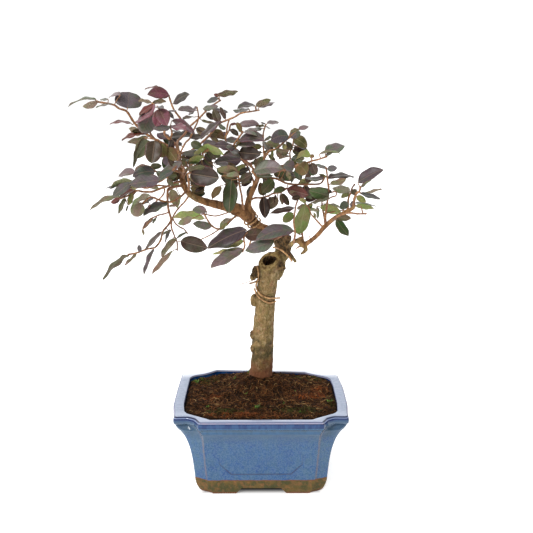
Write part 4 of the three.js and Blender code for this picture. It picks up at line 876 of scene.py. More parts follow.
def make_vein_group():
    """A leaf's rib, side veins, fine net and margin, from each point's place on its blade."""
    tree, _, result = start_group("leaf_veins", {}, ["Rib", "Veins", "Net", "Margin"])
    place = Value(attribute(tree, "blade_place")["Vector"])
    across, along, share = parts_of(place)
    off = abs(across)
    feed(result["Rib"], off.fall(0.004, 0.016))
    phase = ((along - off * VEIN_SLANT) * VEIN_PAIRS).math("FRACT")
    feed(result["Veins"], abs(phase - 0.5).ramp(0.36, 0.49))
    net = put(tree, "ShaderNodeTexVoronoi", {"feature": "DISTANCE_TO_EDGE"}, Vector=place, Scale=26.0)
    feed(result["Net"], Value(net.outputs["Distance"]).fall(0.0, 0.12))
    feed(result["Margin"], share.ramp(0.86, 0.99))


def mottle(tree, size, low, high, stretch=(1, 1, 1), place=0.0, detail=3.0):
    node = put(tree, "ShaderNodeGroup", {"node_tree": bpy.data.node_groups["mottle"]}, Size=size,
               Stretch=stretch, Place=place, Detail=detail, Low=low, High=high)
    return Value(node.outputs["Mask"])


def start_material(name, shade, roughness, specular=0.5):
    """A material with a plain colour: its tree and the inputs of its shader."""
    material = bpy.data.materials.new(name)
    material.use_nodes = True
    material.diffuse_color = as_light(shade)
    inputs = material.node_tree.nodes["Principled BSDF"].inputs
    feed(inputs["Base Color"], as_light(shade))
    feed(inputs["Roughness"], roughness)
    feed(inputs["Specular IOR Level"], specular)
    MATERIALS[name] = material
    return material.node_tree, inputs


def bumped(inputs, height, strength, distance):
    """Gives a shader a relief. The distance is in millimetres."""
    bump = put(height.tree, "ShaderNodeBump", None, Height=height, Strength=strength, Distance=distance * MM)
    feed(inputs["Normal"], Value(bump.outputs["Normal"]))


# The bands down the lip: height in millimetres, how soft, and the colour below it. They mix the glaze's own
# breaks and pooling with painted light: the pale band under the top edge and the lighter band low on the lip
# are painted highlights, the dark line along the top edge is partly a painted dark reflection, and the lowest
# band is partly painted shade in the groove under the lip.
LIP_BANDS = [(91.4, 0.12, (66, 66, 104)), (90.8, 0.2, (160, 156, 176)), (89.8, 0.25, (4, 28, 72)),
             (88.8, 0.4, (2, 46, 96)), (85.4, 0.9, (2, 34, 78)), (84.4, 0.5, (34, 78, 114)),
             (81.7, 0.3, (76, 70, 82)), (80.7, 0.3, (62, 88, 110)), (78.4, 0.4, (40, 76, 108))]
# The same down the ears at the corners, over the wall's colour: a dark edge at the top that is partly a
# painted dark reflection, a pale painted highlight under it, then the glaze's own deep blue.
EAR_BANDS = [(91.42, 0.12, (16, 26, 66)), (90.3, 0.25, (120, 134, 166)), (89.4, 0.4, (4, 34, 84)),
             (87.6, 0.8, (34, 68, 104))]
# The frame pressed into the front and back panels: half length, middle height, half height, corner cut.
FRAME_HALF = 46.0
FRAME_MIDDLE = 42.5
FRAME_RISE = 18.5
FRAME_CORNER = 12.5
FRAME_LINE = 0.95


def banded(z, colour, bands):
    """The colour, covered from each band's height down by that band's own colour."""
    return layered(colour, *((z.fall((height - soft) * MM, (height + soft) * MM), 1, shade)
                             for height, soft, shade in bands))


def frame_lines(side_x, side_y, z):
    """A mask of the pressed lines: the outline of a long panel with its corners cut."""
    off_x = side_x - FRAME_HALF * MM
    off_z = abs(z - FRAME_MIDDLE * MM) - FRAME_RISE * MM
    off_corner = (off_x + off_z + FRAME_CORNER * MM) * 0.7071
    off = off_x.math("MAXIMUM", off_z).math("MAXIMUM", off_corner)
    return abs(off).fall(FRAME_LINE * 0.25 * MM, FRAME_LINE * MM) * side_y.ramp(0.0635, 0.0645)


def make_glaze():
    """Blue glaze: deep on the lip, mottled on the walls, brown over edges, bare clay at the foot, with
    painted highlights and painted dark reflections in bands down the lip and ears and a painted reflection on
    the rim's top.
    """
    tree, inputs = start_material("glaze", (52, 92, 134), 0.2, 0.4)
    # Thin edges are the glaze's own break; the rim, lip and ear marks place painted reflection and painted
    # highlights.
    thin, rim, lip, ear = marks_of(tree, "glaze_and_painted_light_marks")
    x, y, z = parts_of(place_in(tree))
    depth = y - PLACE.y * MM
    side_x, side_y = abs(x - PLACE.x * MM), abs(depth)
    broad = mottle(tree, 30.0, 0.38, 0.62, detail=2.0)
    middling = mottle(tree, 4.5, 0.38, 0.62, place=3.0)
    streaks = mottle(tree, 3.6, 0.36, 0.64, stretch=(1, 1, 0.3), place=13.0)
    deep = mottle(tree, 9.0, 0.5, 0.62, place=17.0)
    fine = mottle(tree, 1.5, 0.38, 0.62, place=7.0)
    pane = side_x.fall(0.03, 0.06) * z.fall(0.06, 0.074)
    wall = layered((26, 68, 112),
                   (broad, 1, (44, 80, 112)),
                   (pane, 0.5, (20, 66, 120)),
                   (middling, 0.5, (26, 72, 128)),
                   (streaks, 0.35, (58, 88, 104)),
                   (deep, 0.55, (18, 58, 118)),
                   (fine, 0.5, (80, 110, 134)),
                   (z.ramp(0.058, 0.078), 0.7, (62, 82, 100)))
    # The lip's glaze: its own pooling, banded with painted highlights and painted dark reflections.
    lip_glaze_with_painted_highlights = layered(banded(z, wall, LIP_BANDS), (streaks, 0.22, (66, 112, 156)))
    # The ears' glaze, banded with a painted highlight under a dark edge that is partly painted reflection.
    ear_glaze_with_painted_highlight = layered(banded(z, wall, EAR_BANDS), (z.fall(0.084, 0.0865), 1, wall))
    lines = frame_lines(side_x, side_y, z)
    worn = thin * (mottle(tree, 3.0, 0.3, 0.6, place=11.0) * 0.45 + 0.2)
    # Painted reflection on the rim's flat top: pale, and palest at the back, where it catches the white
    # backdrop.
    painted_rim_reflection = layered((116, 130, 153),
                     (middling, 1, (130, 140, 165)),
                     (depth.fall(-0.062, -0.04), 1, (150, 160, 182)),
                     (depth.ramp(0.045, 0.066), 1, (216, 222, 232)))
    colour = layered(wall,
                     (lip, 1, lip_glaze_with_painted_highlights),
                     (ear, 1, ear_glaze_with_painted_highlight),
                     (lines * z.ramp(0.03, 0.042, 0.8, 0.05), 1, (58, 66, 96)),
                     (worn, 1, (100, 84, 84)),
                     (rim, 1, painted_rim_reflection))
    hem = z.fall(0.0014, 0.003).math("MAXIMUM", z.ramp(0.0152, 0.0162))
    clay = layered((100, 78, 33),
                   (mottle(tree, 9.0, 0.35, 0.62, place=2.0), 1, (66, 62, 26)),
                   (mottle(tree, 5.0, 0.48, 0.62, place=5.0), 0.6, (128, 86, 48)),
                   (mottle(tree, 2.2, 0.4, 0.6, place=9.0), 0.35, (56, 58, 26)),
                   (hem, 0.75, (112, 62, 36)))
    edge = (mottle(tree, 12.0, 0.2, 0.8) - 0.5) * 0.0008
    bare = (z + edge).fall(0.0164, 0.0170)
    feed(inputs["Base Color"], layered(colour, (bare, 1, clay)))
    feed(inputs["Roughness"], middling * 0.08 + 0.14 + bare * 0.6)
    relief = mottle(tree, 6.0, 0.2, 0.8, place=4.0) * 0.5
    grit = bare * mottle(tree, 1.4, 0.3, 0.7, place=6.0)
    groove = lines * z.ramp(0.03, 0.044, 1.0, 0.22)
    bumped(inputs, relief + grit - groove * 2.5, 0.55, 0.6)


# The two faces of a leaf: roughness, rib, shade of the veins and how strong they are, margin, relief.
LEAF_FACES = {
    "leaf_upper": (0.42, (138, 116, 98), (0.5, 0.47, 0.46, 1.0), 0.55, (112, 52, 54), -0.6),
    "leaf_under": (0.6, (150, 140, 106), (1.25, 1.2, 1.12, 1.0), 0.5, (124, 74, 62), 0.6),
}


def make_leaf_face(name, roughness, rib_shade, vein_shade, vein_share, margin_shade, relief):
    """One face of the leaves. Each leaf's own colour comes with its mesh."""
    tree, inputs = start_material(name, (92, 82, 72), roughness, 0.3)
    outputs = put(tree, "ShaderNodeGroup", {"node_tree": bpy.data.node_groups["leaf_veins"]}).outputs
    rib, veins, net, margin = (Value(socket) for socket in outputs)
    colour = layered(Value(attribute(tree, "leaf_tint")["Color"]),
                     (mottle(tree, 12.0, 0.44, 0.6, place=1.0), 0.75, (0.72, 1.12, 0.66, 1.0)),
                     (mottle(tree, 14.0, 0.46, 0.6, place=8.0), 0.7, (1.06, 0.8, 0.9, 1.0)),
                     (mottle(tree, 1.6, 0.4, 0.62, place=4.0), 0.4, (0.72, 0.7, 0.66, 1.0)),
                     (veins, vein_share, vein_shade),
                     (net, 0.3, vein_shade), kind="MULTIPLY")
    colour = layered(colour,
                     (rib, 0.5, rib_shade),
                     (margin * mottle(tree, 16.0, 0.4, 0.6, place=17.0), 0.7, margin_shade))
    feed(inputs["Base Color"], colour)
    bumped(inputs, net * 0.35 + veins, relief, 0.35)


# Patches on the trunk's bark: share, size in millimetres, the noise level where they start, place and colour.
BARK_PATCHES = [(0.6, 8.0, 0.5, 8.0, (104, 98, 52)), (0.55, 9.0, 0.54, 21.0, (160, 110, 84)),
                (0.65, 6.5, 0.55, 33.0, (68, 56, 34)), (0.55, 5.5, 0.55, 45.0, (190, 168, 126))]


def make_bark():
    """The trunk's bark, reddish at its foot and on the limbs, with sawn and rotten wood and painted shade
    beside the wires.
    """
    tree, inputs = start_material("bark", (140, 112, 72), 0.8, 0.25)
    dark, bare, red, _ = marks_of(tree, "wood_marks")
    z = parts_of(place_in(tree))[2]
    grain = mottle(tree, 4.2, 0.42, 0.62, stretch=(1, 1, 0.32))
    broad = mottle(tree, 13.0, 0.4, 0.6, stretch=(1, 1, 0.7), place=2.0)
    scales = mottle(tree, 2.0, 0.42, 0.58, stretch=(1, 1, 0.6), place=12.0)
    fine = mottle(tree, 0.9, 0.38, 0.64, stretch=(1, 1, 0.5), place=6.0)
    patches = [(mottle(tree, size, low, low + 0.1, place=place), share, shade)
               for share, size, low, place, shade in BARK_PATCHES]
    foot = (z + broad * 0.012).fall(0.112, 0.146)
    damp = z.ramp(0.118, 0.13) * z.fall(0.15, 0.162) * mottle(tree, 8.0, 0.42, 0.56, place=15.0)
    colour = layered((152, 124, 80),
                     (broad, 1, (126, 104, 60)),
                     *patches,
                     (grain, 0.28, (88, 66, 38)),
                     (scales, 0.35, (176, 148, 106)),
                     (fine, 0.35, (60, 44, 26)),
                     (foot, 0.85, (114, 66, 42)),
                     (damp, 0.6, (54, 50, 30)),
                     (red, 0.85, layered((158, 112, 72), (grain, 1, (104, 68, 42)))),
                     (bare, 1, layered((176, 150, 98), (grain, 1, (124, 98, 56)))),
                     # The dark mark is rotten wood, the hole in the stub and painted shade beside the wires.
                     (dark, 0.85, layered((22, 15, 10), (scales, 1, (92, 66, 38)))))
    feed(inputs["Base Color"], colour)
    bumped(inputs, grain * -0.8 + scales * 0.7 - fine * 0.5, 0.9, 0.6)


def make_twig():
    tree, inputs = start_material("twig", (146, 100, 62), 0.66)
    spot = mottle(tree, 0.8, 0.4, 0.7, place=5.0)
    colour = layered((172, 122, 76),
                     (mottle(tree, 2.8, 0.36, 0.64, place=3.0), 1, (128, 84, 52)),
                     (mottle(tree, 30.0, 0.4, 0.6, place=7.0, detail=1.0), 0.45, (110, 72, 58)),
                     (spot, 0.35, (74, 48, 32)))
    feed(inputs["Base Color"], colour)
    bumped(inputs, spot, 0.5, 0.25)


def make_ground():
    """Crumbly soil with rusty and mossy patches and painted shade in its hollows."""
    tree, inputs = start_material("soil", (58, 38, 22), 0.95, 0.1)
    hollow, rusty, mossy, _ = marks_of(tree, "soil_marks")
    clump = mottle(tree, 3.2, 0.38, 0.62, place=4.0)
    grit = mottle(tree, 1.1, 0.4, 0.62, place=7.0)
    colour = layered((36, 21, 10),
                     (clump, 1, (88, 56, 30)),
                     (rusty, 0.6, (112, 60, 26)),
                     (grit, 0.6, (20, 12, 6)),
                     (mossy * mottle(tree, 2.4, 0.4, 0.6, place=2.0), 0.7, (62, 62, 18)),
                     # Painted shade in the hollows of the rough ground.
                     (hollow, 0.85, (16, 9, 5)))
    feed(inputs["Base Color"], colour)
    bumped(inputs, clump + grit, 1.0, 1.4)


def make_small_finishes():
    """Root threads, sprouts, wires and drain screens."""
    tree, inputs = start_material("root_thread", (92, 60, 34), 0.85, 0.2)
    dirt = mottle(tree, 2.0, 0.4, 0.6, place=3.0)
    tint = Value(attribute(tree, "thread_tint")["Color"])
    feed(inputs["Base Color"], layered(tint, (dirt, 0.5, (40, 24, 13))))

    tree, inputs = start_material("sprout", (96, 132, 36), 0.7)
    cloud = mottle(tree, 4.0, 0.35, 0.65, place=3.0)
    feed(inputs["Base Color"], layered((104, 140, 40), (cloud, 1, (56, 84, 20))))
    bumped(inputs, mottle(tree, 0.8, 0.3, 0.7), 0.3, 0.2)

    tree, inputs = start_material("wire", (180, 138, 92), 0.42)
    tarnish = mottle(tree, 3.0, 0.35, 0.7, place=2.0)
    feed(inputs["Base Color"], layered((198, 154, 104), (tarnish, 1, (128, 92, 56))))
    feed(inputs["Roughness"], tarnish * 0.25 + 0.36)
    feed(inputs["Metallic"], 0.25)

    tree, inputs = start_material("screen", (34, 34, 30), 0.6)
    weave = mottle(tree, 1.5, 0.3, 0.7)
    feed(inputs["Base Color"], layered((40, 40, 36), (weave, 1, (22, 22, 20))))
    bumped(inputs, weave, 0.4, 0.3)


def make_materials():
    make_mottle_group()
    make_vein_group()
    make_glaze()
    for name, looks in LEAF_FACES.items():
        make_leaf_face(name, *looks)
    make_bark()
    make_twig()
    make_ground()
    make_small_finishes()


# Leaves
BLADE_RATIO = 0.52
BLADE_FOLD = 0.24
BLADE_THICK = 0.34
RIM_THICK = 0.35
LEAF_CLEAR = 3.0
STALK_RADIUS = 0.5
STALK_SIDES = 6
TWIG_SIDES = 8
TWIG_STEP = 2.2
# The swollen tip of a twig: how far along it each ring lies and its share of the twig's thin radius.
TWIG_BUD = [(-0.4, 0.9), (0.6, 1.25), (1.6, 0.9), (2.4, 0.2)]
VEIN_PAIRS = 7
VEIN_SLANT = 0.9
VEIN_SWELL = 0.22
# Half width of a blade along its length, from stalk to tip: a narrow pointed leaf and a broad blunt one.
NARROW_OUTLINE = [(0.0, 0.0), (0.02, 0.16), (0.07, 0.42), (0.16, 0.72), (0.3, 0.94), (0.44, 1.0),
                  (0.58, 0.97), (0.72, 0.82), (0.84, 0.57), (0.92, 0.34), (0.97, 0.15), (1.0, 0.0)]
BROAD_OUTLINE = [(0.0, 0.0), (0.02, 0.22), (0.07, 0.5), (0.16, 0.77), (0.3, 0.96), (0.46, 1.0),
                 (0.62, 0.98), (0.76, 0.86), (0.88, 0.63), (0.95, 0.4), (0.985, 0.2), (1.0, 0.0)]
# Colours of the two faces of a leaf by its kind: upper, then under.
LEAF_COLOURS = {
    "p": ((78, 62, 67), (104, 94, 76)),
    "k": ((52, 37, 30), (84, 74, 54)),
    "d": ((75, 60, 48), (92, 84, 62)),
    "m": ((114, 104, 103), (120, 108, 86)),
    "s": ((86, 82, 84), (110, 102, 80)),
    "v": ((112, 66, 76), (124, 88, 78)),
    "r": ((96, 46, 38), (112, 74, 56)),
    "g": ((90, 91, 62), (106, 104, 76)),
    "e": ((54, 66, 36), (92, 98, 58)),
    "u": ((76, 66, 60), (124, 108, 86)),
    "b": ((74, 76, 48), (122, 122, 72)),
    "n": ((58, 52, 42), (82, 74, 52)),
    "y": ((88, 84, 56), (146, 144, 92)),
    "o": ((72, 62, 46), (102, 84, 52)),
    "t": ((96, 88, 82), (138, 129, 110)),
}
# The kinds that show their under face, and those that look green rather than purple.
UNDER_KINDS = "ubnyot"
GREEN_KINDS = "ubnyotge"
# Small shaded leaves inside the crown: where they fill it (x, z, half width, half height) and how many.
SHADED = [(-54, 351, 27, 26, 72), (18, 356, 40, 34, 46), (-101, 348, 13, 14, 8), (-52, 406, 34, 16, 8),
          (52, 323, 8, 12, 6), (-84, 358, 12, 20, 12)]
SHADED_KINDS = "kkdddnnooegu"
SHADED_REACH = (2.0, 13.0)
SHADED_STALK = 1.5
SHADED_SEED = 77
# Leaves that close the crown's larger gaps, in rows as in the sprays.
FILLING = [
    [-44.4, 339.7, -53.9, 325.2, 8, 6, 0, "o"],
    [-48.4, 359, -40, 351, 6, 5, 0, "g"],
    [-43.6, 350, -36, 344, 5, 5, 0, "d"],
    [-49, 363, -25, 359, 6, 6, 1, "m"],
    [-61, 338.7, -73.6, 334, 5, 4, 0, "k"],
    [48, 335, 58, 325, 6, 6, 0, "g"],
    [57, 320, 50, 310, 6, 5, 0, "b"],
    [-9.6, 339, -16, 328, 6, 5, 0, "d"],
]


def nearest_on_twigs(twigs, x, z):
    """The place on the twigs, seen on the upright plane, that is nearest to (x, z): x, z, depth."""
    best, least = None, math.inf
    for _, _, *route in twigs:
        for (ax, az, ay), (bx, bz, by) in zip(route, route[1:]):
            length2 = (bx - ax) ** 2 + (bz - az) ** 2
            t = min(1.0, max(0.0, ((x - ax) * (bx - ax) + (z - az) * (bz - az)) / length2))
            at = (blend(ax, bx, t), blend(az, bz, t), blend(ay, by, t))
            gap = math.hypot(x - at[0], z - at[1])
            if gap < least:
                best, least = at, gap
    return best


def nearest_spray(x, z):
    """The number of the spray whose twigs come nearest to (x, z), the place on them, and how far it is."""
    places = [nearest_on_twigs(twigs, x, z) for _, twigs, _ in SPRAYS]
    gaps = [math.hypot(x - at[0], z - at[1]) for at in places]
    gap = min(gaps)
    owner = gaps.index(gap)
    return owner, places[owner], gap


def extra_leaves():
    """Rows of leaves for each spray beside its own: the filling ones and small shaded ones."""
    draw = random.Random(SHADED_SEED)
    rows = [[] for _ in SPRAYS]
    for row in FILLING:
        rows[nearest_spray(*row[:2])[0]].append(row)
    for x, z, half_x, half_z, count in SHADED:
        left = count
        while left:
            turn, far = draw.uniform(0, 2 * math.pi), math.sqrt(draw.random())
            goal_x, goal_z = x + math.cos(turn) * half_x * far, z + math.sin(turn) * half_z * far
            length, kind = draw.uniform(9, 16), draw.choice(SHADED_KINDS)
            width, lean = draw.uniform(0.35, 0.62) * length, draw.uniform(1, 5)
            owner, (at_x, at_z, _), gap = nearest_spray(goal_x, goal_z)
            if not SHADED_REACH[0] < gap < SHADED_REACH[1]:
                continue
            out_x, out_z = (goal_x - at_x) / gap, (goal_z - at_z) / gap
            tip = length + SHADED_STALK
            rows[owner].append([at_x + out_x * SHADED_STALK, at_z + out_z * SHADED_STALK, at_x + out_x * tip,
                                at_z + out_z * tip, width, lean, draw.uniform(-1, 1), kind])
            left -= 1
    return rows


def blade_frame(row, depth):
    """Where a blade lies: base, tip direction, length, half width, sideways, upward and bow directions."""
    bx, bz, tx, tz, width, lean, _, kind = row
    clear = math.copysign(LEAF_CLEAR, lean) if lean else 0.0
    base = see(bx, bz, depth + clear)
    tip = see(tx, tz, depth + clear + lean)
    length = (tip - base).length
    along = (tip - base) / length
    sight = ((base + tip) * 0.5 - EYE).normalized()
    flat = along.cross(sight).normalized()
    deep = along.cross(flat).normalized()
    true_width = max(BLADE_RATIO * length, width)
    cosine = min(1.0, width / true_width)
    sine = math.sqrt(1 - cosine * cosine)
    under_seen = kind in UNDER_KINDS
    best = None
    for turn in (1, -1):
        side = flat * cosine + deep * (turn * sine)
        up = along.cross(side).normalized()
        if (up.dot(sight) > 0) != under_seen:
            up.negate()
            side.negate()
        if best is None or up.z > best[1].z:
            best = (side, up)
    rise = (Vector((0, 0, 1)) - sight * sight.z).normalized()
    return base, along, length, true_width / 2, *best, rise


def make_blade(row, depth, draw):
    """A blade as a thin closed skin: points, faces, each point's place, each face's side, base and up."""
    base, along, length, half, side, up, rise = blade_frame(row, depth)
    bow = row[6]
    steps = 20 if length > 22 else 12
    parts = 4 if half > 5 else 3
    wave = draw.uniform(0.03, 0.085) * length
    phase = draw.uniform(0, 2 * math.pi)
    droop = draw.uniform(0.0, 0.07) * length
    fold, curl = BLADE_FOLD * draw.uniform(0.5, 1.5), draw.uniform(0.02, 0.3)
    broad = smooth_step(0.5, 0.72, 2 * half / length)
    swell = VEIN_SWELL * min(1.0, half / 8)
    columns = list(range(-parts, parts + 1))
    tops, unders, places = [], [], []
    for i in range(steps + 1):
        t = i / steps
        rib = base + along * (length * t) + rise * (bow * 4 * t * (1 - t)) - up * (droop * t * t)
        reach = half * blend(through(NARROW_OUTLINE, t), through(BROAD_OUTLINE, t), broad)
        for j in columns:
            s = j / parts
            across = abs(s) * reach
            vein = (t - VEIN_SLANT * across / length) * VEIN_PAIRS
            ridge = swell * abs(math.sin(math.pi * vein)) * (1 - s ** 6) * min(1.0, 6 * abs(s))
            ripple = math.sin(2.2 * math.pi * t * 2 + phase + (1.3 if s > 0 else 0))
            lift = across * fold - curl * across * across / max(half, 1) + ridge
            lift += wave * ripple * abs(s) ** 2 * 0.35
            tops.append(rib + side * (s * reach) + up * lift)
            at_edge, at_end = abs(j) == parts, i in (0, steps)
            thick = BLADE_THICK * (RIM_THICK if at_edge else 1.0) * (RIM_THICK if at_end else 1.0)
            unders.append(tops[-1] - up * thick)
            places.append((s * reach / length, t, abs(s)))
    wide, count = len(columns), len(tops)
    faces, sides = [], []
    for i in range(steps):
        for j in range(wide - 1):
            a = i * wide + j
            quad = (a, a + 1, a + 1 + wide, a + wide)
            faces += [quad, tuple(count + k for k in reversed(quad))]
            sides += [0, 1]
    for i in range(steps):
        left, right = i * wide, i * wide + wide - 1
        for a, b in ((left, left + wide), (right + wide, right)):
            faces.append((a, b, count + b, count + a))
            sides.append(0)
    if along.cross(side).dot(up) > 0:
        faces = [tuple(reversed(face)) for face in faces]
    return tops + unders, faces, places + places, sides, base, up


def leaf_tint(shade, light, warm):
    """A leaf's own colour: its kind's, lighter or darker and warmer or cooler."""
    red, green, blue, _ = from_srgb(*shade)
    return (red * light * (1 + warm), green * light * (1 - 0.4 * warm), blue * light, 1.0)


def make_spray(name, twigs, leaves, extra, seed):
    """One leafy spray: its twigs, leaf stalks and blades in a single piece with three materials."""
    draw = random.Random(seed)
    meshes, slots, places, tints = [], [], [], []

    def add(points, faces, new_slots, new_places, new_tints):
        meshes.append((points, faces))
        slots.extend(new_slots)
        places.extend(new_places)
        tints.extend(new_tints)

    def add_stem(points, radii, sides):
        ring_points, faces = lofted(tube_rings(points, radii, sides))
        count = len(ring_points)
        add(ring_points, faces, [2] * len(faces), [(0.0, 0.0, 0.0)] * count, [WHITE] * count)

    for thick, thin, *route in twigs:
        stops = route_through(seen(route), TWIG_STEP)
        radii = []
        for i, (_, at) in enumerate(stops):
            radius = blend(thick, thin, at / (len(route) - 1))
            radii.append(radius * (1 + 0.1 * math.sin(1.9 * i) + draw.uniform(-0.05, 0.05)))
        add_stem([p for p, _ in stops], radii, TWIG_SIDES)
        tip, before = stops[-1][0], stops[-2][0]
        outward = (tip - before).normalized()
        add_stem([tip + outward * off for off, _ in TWIG_BUD], [thin * share for _, share in TWIG_BUD],
                 TWIG_SIDES)
    for row in leaves + extra:
        at = nearest_on_twigs(twigs, row[0], row[1])
        joint = see(*at)
        points, faces, new_places, sides, base, up = make_blade(row, at[2], draw)
        light, warm = draw.uniform(0.84, 1.16), draw.uniform(-0.08, 0.1)
        new_tints = []
        for shade in LEAF_COLOURS[row[7]]:
            new_tints += [leaf_tint(shade, light, warm)] * (len(points) // 2)
        add(points, faces, sides, new_places, new_tints)
        along = (see(row[2], row[3], at[2]) - base).normalized()
        middle = (joint + base) * 0.5 + up * 0.25 * min(3.0, (joint - base).length * 0.15)
        stalk = line_through([joint, middle, base, base + along * 1.2], 1.4)
        radii = [STALK_RADIUS * blend(1.15, 0.8, i / (len(stalk) - 1)) for i in range(len(stalk))]
        add_stem(stalk, radii, STALK_SIDES)
    piece = new_piece(name + "_leaves", *join(meshes))
    mark(piece, "blade_place", places, "FLOAT_VECTOR")
    mark(piece, "leaf_tint", tints)
    green = sum(row[7] in GREEN_KINDS for row in leaves)
    slot = "olive_leaf" if 2 * green > len(leaves) else "purple_leaf"
    own(piece, ("leaf_upper", "leaf_under", "twig"), slot, name)
    piece.data.polygons.foreach_set("material_index", slots)


def make_leaves():
    extra = extra_leaves()
    for seed, (name, twigs, leaves) in enumerate(SPRAYS):
        make_spray(name, twigs, leaves, extra[seed], seed)


# Wood
WOOD_VOXEL = 0.85
LIMB_STEP = 3.0
LIMB_SIDES = 22
TRUNK_SIDES = 30
KNOB_SIDES = 16
KNOB_RINGS = 10
BARK_GROOVE = 0.5
BARK_LUMP = 0.75
# Places (x, z, depth, reach) on the wood that are dark and rotten.
DARK_WOOD = [(28, 270, 18, 13), (22, 279, 22, 10), (34, 262, 10, 8), (-7, 240, 12, 8), (24, 245, 13, 6),
             (34, 283, 16, 7), (-30, 312, 8, 8), (-11.5, 168, 20, 4), (20, 250, 12, 7)]
# Places along the limbs where the bark is young and reddish.
RED_WOOD = [(-12, 302, 12, 26), (-24, 316, 6, 20), (60, 282, -6, 22), (3, 291, 23, 14), (-50, 320, 4, 26),
            (-86, 345, 2, 20), (-90, 372, 8, 20), (-5, 340, 3, 24), (2, 366, 5, 18), (86, 306, -16, 22),
            (70, 292, -9, 12), (92, 309, -20, 14)]
# Places at the root of the right branch where the bark has come off.
PALE_WOOD = [(51, 269, -5, 5), (46, 272, -2, 4), (35, 275, 8, 4.5)]
# How near a wire, in millimetres, the bark is pressed in and shaded, and how deep.
WIRE_PRESS = (1.7, 3.4)
PRESS_DEPTH = 0.35
# The hole in the stub: steps against the face's direction, and across and down inside the trunk.
HOLLOW_ROUTE = [(-4, 0, 0), (1, 0, 0), (7, 0, 0), (14, 4, -8), (19, 6, -20)]
HOLLOW_SIDES = 18


def limb_stops(row):
    """Points along a limb, each with the limb's radius there."""
    keys = list(enumerate(r for *_, r in row))
    return [(point, through(keys, at)) for point, at in route_through(seen(row), LIMB_STEP)]


def closed_limb(row, sides=LIMB_SIDES, uneven=0.05):
    """A limb as a closed tube with uneven sides."""
    stops = limb_stops(row)
    rings = tube_rings([p for p, _ in stops], [radius for _, radius in stops], sides)
    for i, ring in enumerate(rings):
        centre = stops[i][0]
        for k, point in enumerate(ring):
            angle = 2 * math.pi * k / sides
            swell = math.sin(angle * 2 + 0.11 * i) + 0.6 * math.sin(3 * angle - 0.17 * i + row[0][0])
            ring[k] = centre + (point - centre) * (1 + uneven * swell)
    return lofted(rings)


def level_ring(centre, radius, z, sides):
    """A round level ring whose middle is z above a centre."""
    angles = [2 * math.pi * k / sides for k in range(sides)]
    return [centre + Vector((math.cos(angle) * radius, math.sin(angle) * radius, z)) for angle in angles]


def closed_knob(centre, radius, stretch):
    """A knob as a ball stretched upwards."""
    angles = [math.pi * i / KNOB_RINGS for i in range(1, KNOB_RINGS)]
    return lofted([level_ring(centre, math.sin(angle) * radius, -math.cos(angle) * stretch, KNOB_SIDES)
                   for angle in angles])


def cut_frame():
    """The sawn stub's face: its centre and the direction that it looks in."""
    tilt = math.radians(CUT["tilt"])
    return see(*CUT["at"]), Vector((-CUT["lean"], -math.cos(tilt), math.sin(tilt))).normalized()


def sawn_trunk():
    """The trunk, cut off at the stub's sawn face."""
    vertices, faces = closed_limb(TRUNK, TRUNK_SIDES, 0.035)
    centre, out = cut_frame()
    shaft = bmesh.new()
    for point in vertices:
        shaft.verts.new(point)
    shaft.verts.ensure_lookup_table()
    for face in faces:
        shaft.faces.new([shaft.verts[i] for i in face])
    everything = shaft.verts[:] + shaft.edges[:] + shaft.faces[:]
    cut = bmesh.ops.bisect_plane(shaft, geom=everything, plane_co=centre, plane_no=out, clear_outer=True)
    edges = [item for item in cut["geom_cut"] if isinstance(item, bmesh.types.BMEdge)]
    bmesh.ops.holes_fill(shaft, edges=edges, sides=0)
    shaft.verts.index_update()
    result = [v.co.copy() for v in shaft.verts], [tuple(v.index for v in f.verts) for f in shaft.faces]
    shaft.free()
    return result


def make_hollow():
    """The rotten hole in the stub, as a body to be taken out of the wood."""
    centre, out = cut_frame()
    deep, wide = CUT["hollow"]
    route = [centre - out * inward + Vector((0, back, down)) for inward, back, down in HOLLOW_ROUTE]
    widths = list(enumerate((wide * 1.05, wide, wide * 0.9, deep * 1.3, deep)))
    stops = route_through(route, 1.5)
    rings = tube_rings([p for p, _ in stops], [through(widths, at) for _, at in stops], HOLLOW_SIDES)
    for i, ring in enumerate(rings):
        middle = stops[i][0]
        for k, point in enumerate(ring):
            swell = 1 + 0.1 * math.sin(3 * k * 0.35 + 0.7 * i) + 0.08 * math.sin(1.9 * k + i)
            offset = point - middle
            ring[k] = middle + Vector((offset.x * 1.2, offset.y, offset.z)) * swell
    return new_piece("hollow_tool", *lofted(rings))


def nearness(point, spots):
    """How much a point lies in any of the spots, from 0 to 1."""
    most = 0.0
    for x, z, y, reach in spots:
        gap = (point - see(x, z, y)).length / reach
        most = max(most, 1 - smooth_step(0.55, 1.1, gap))
    return most


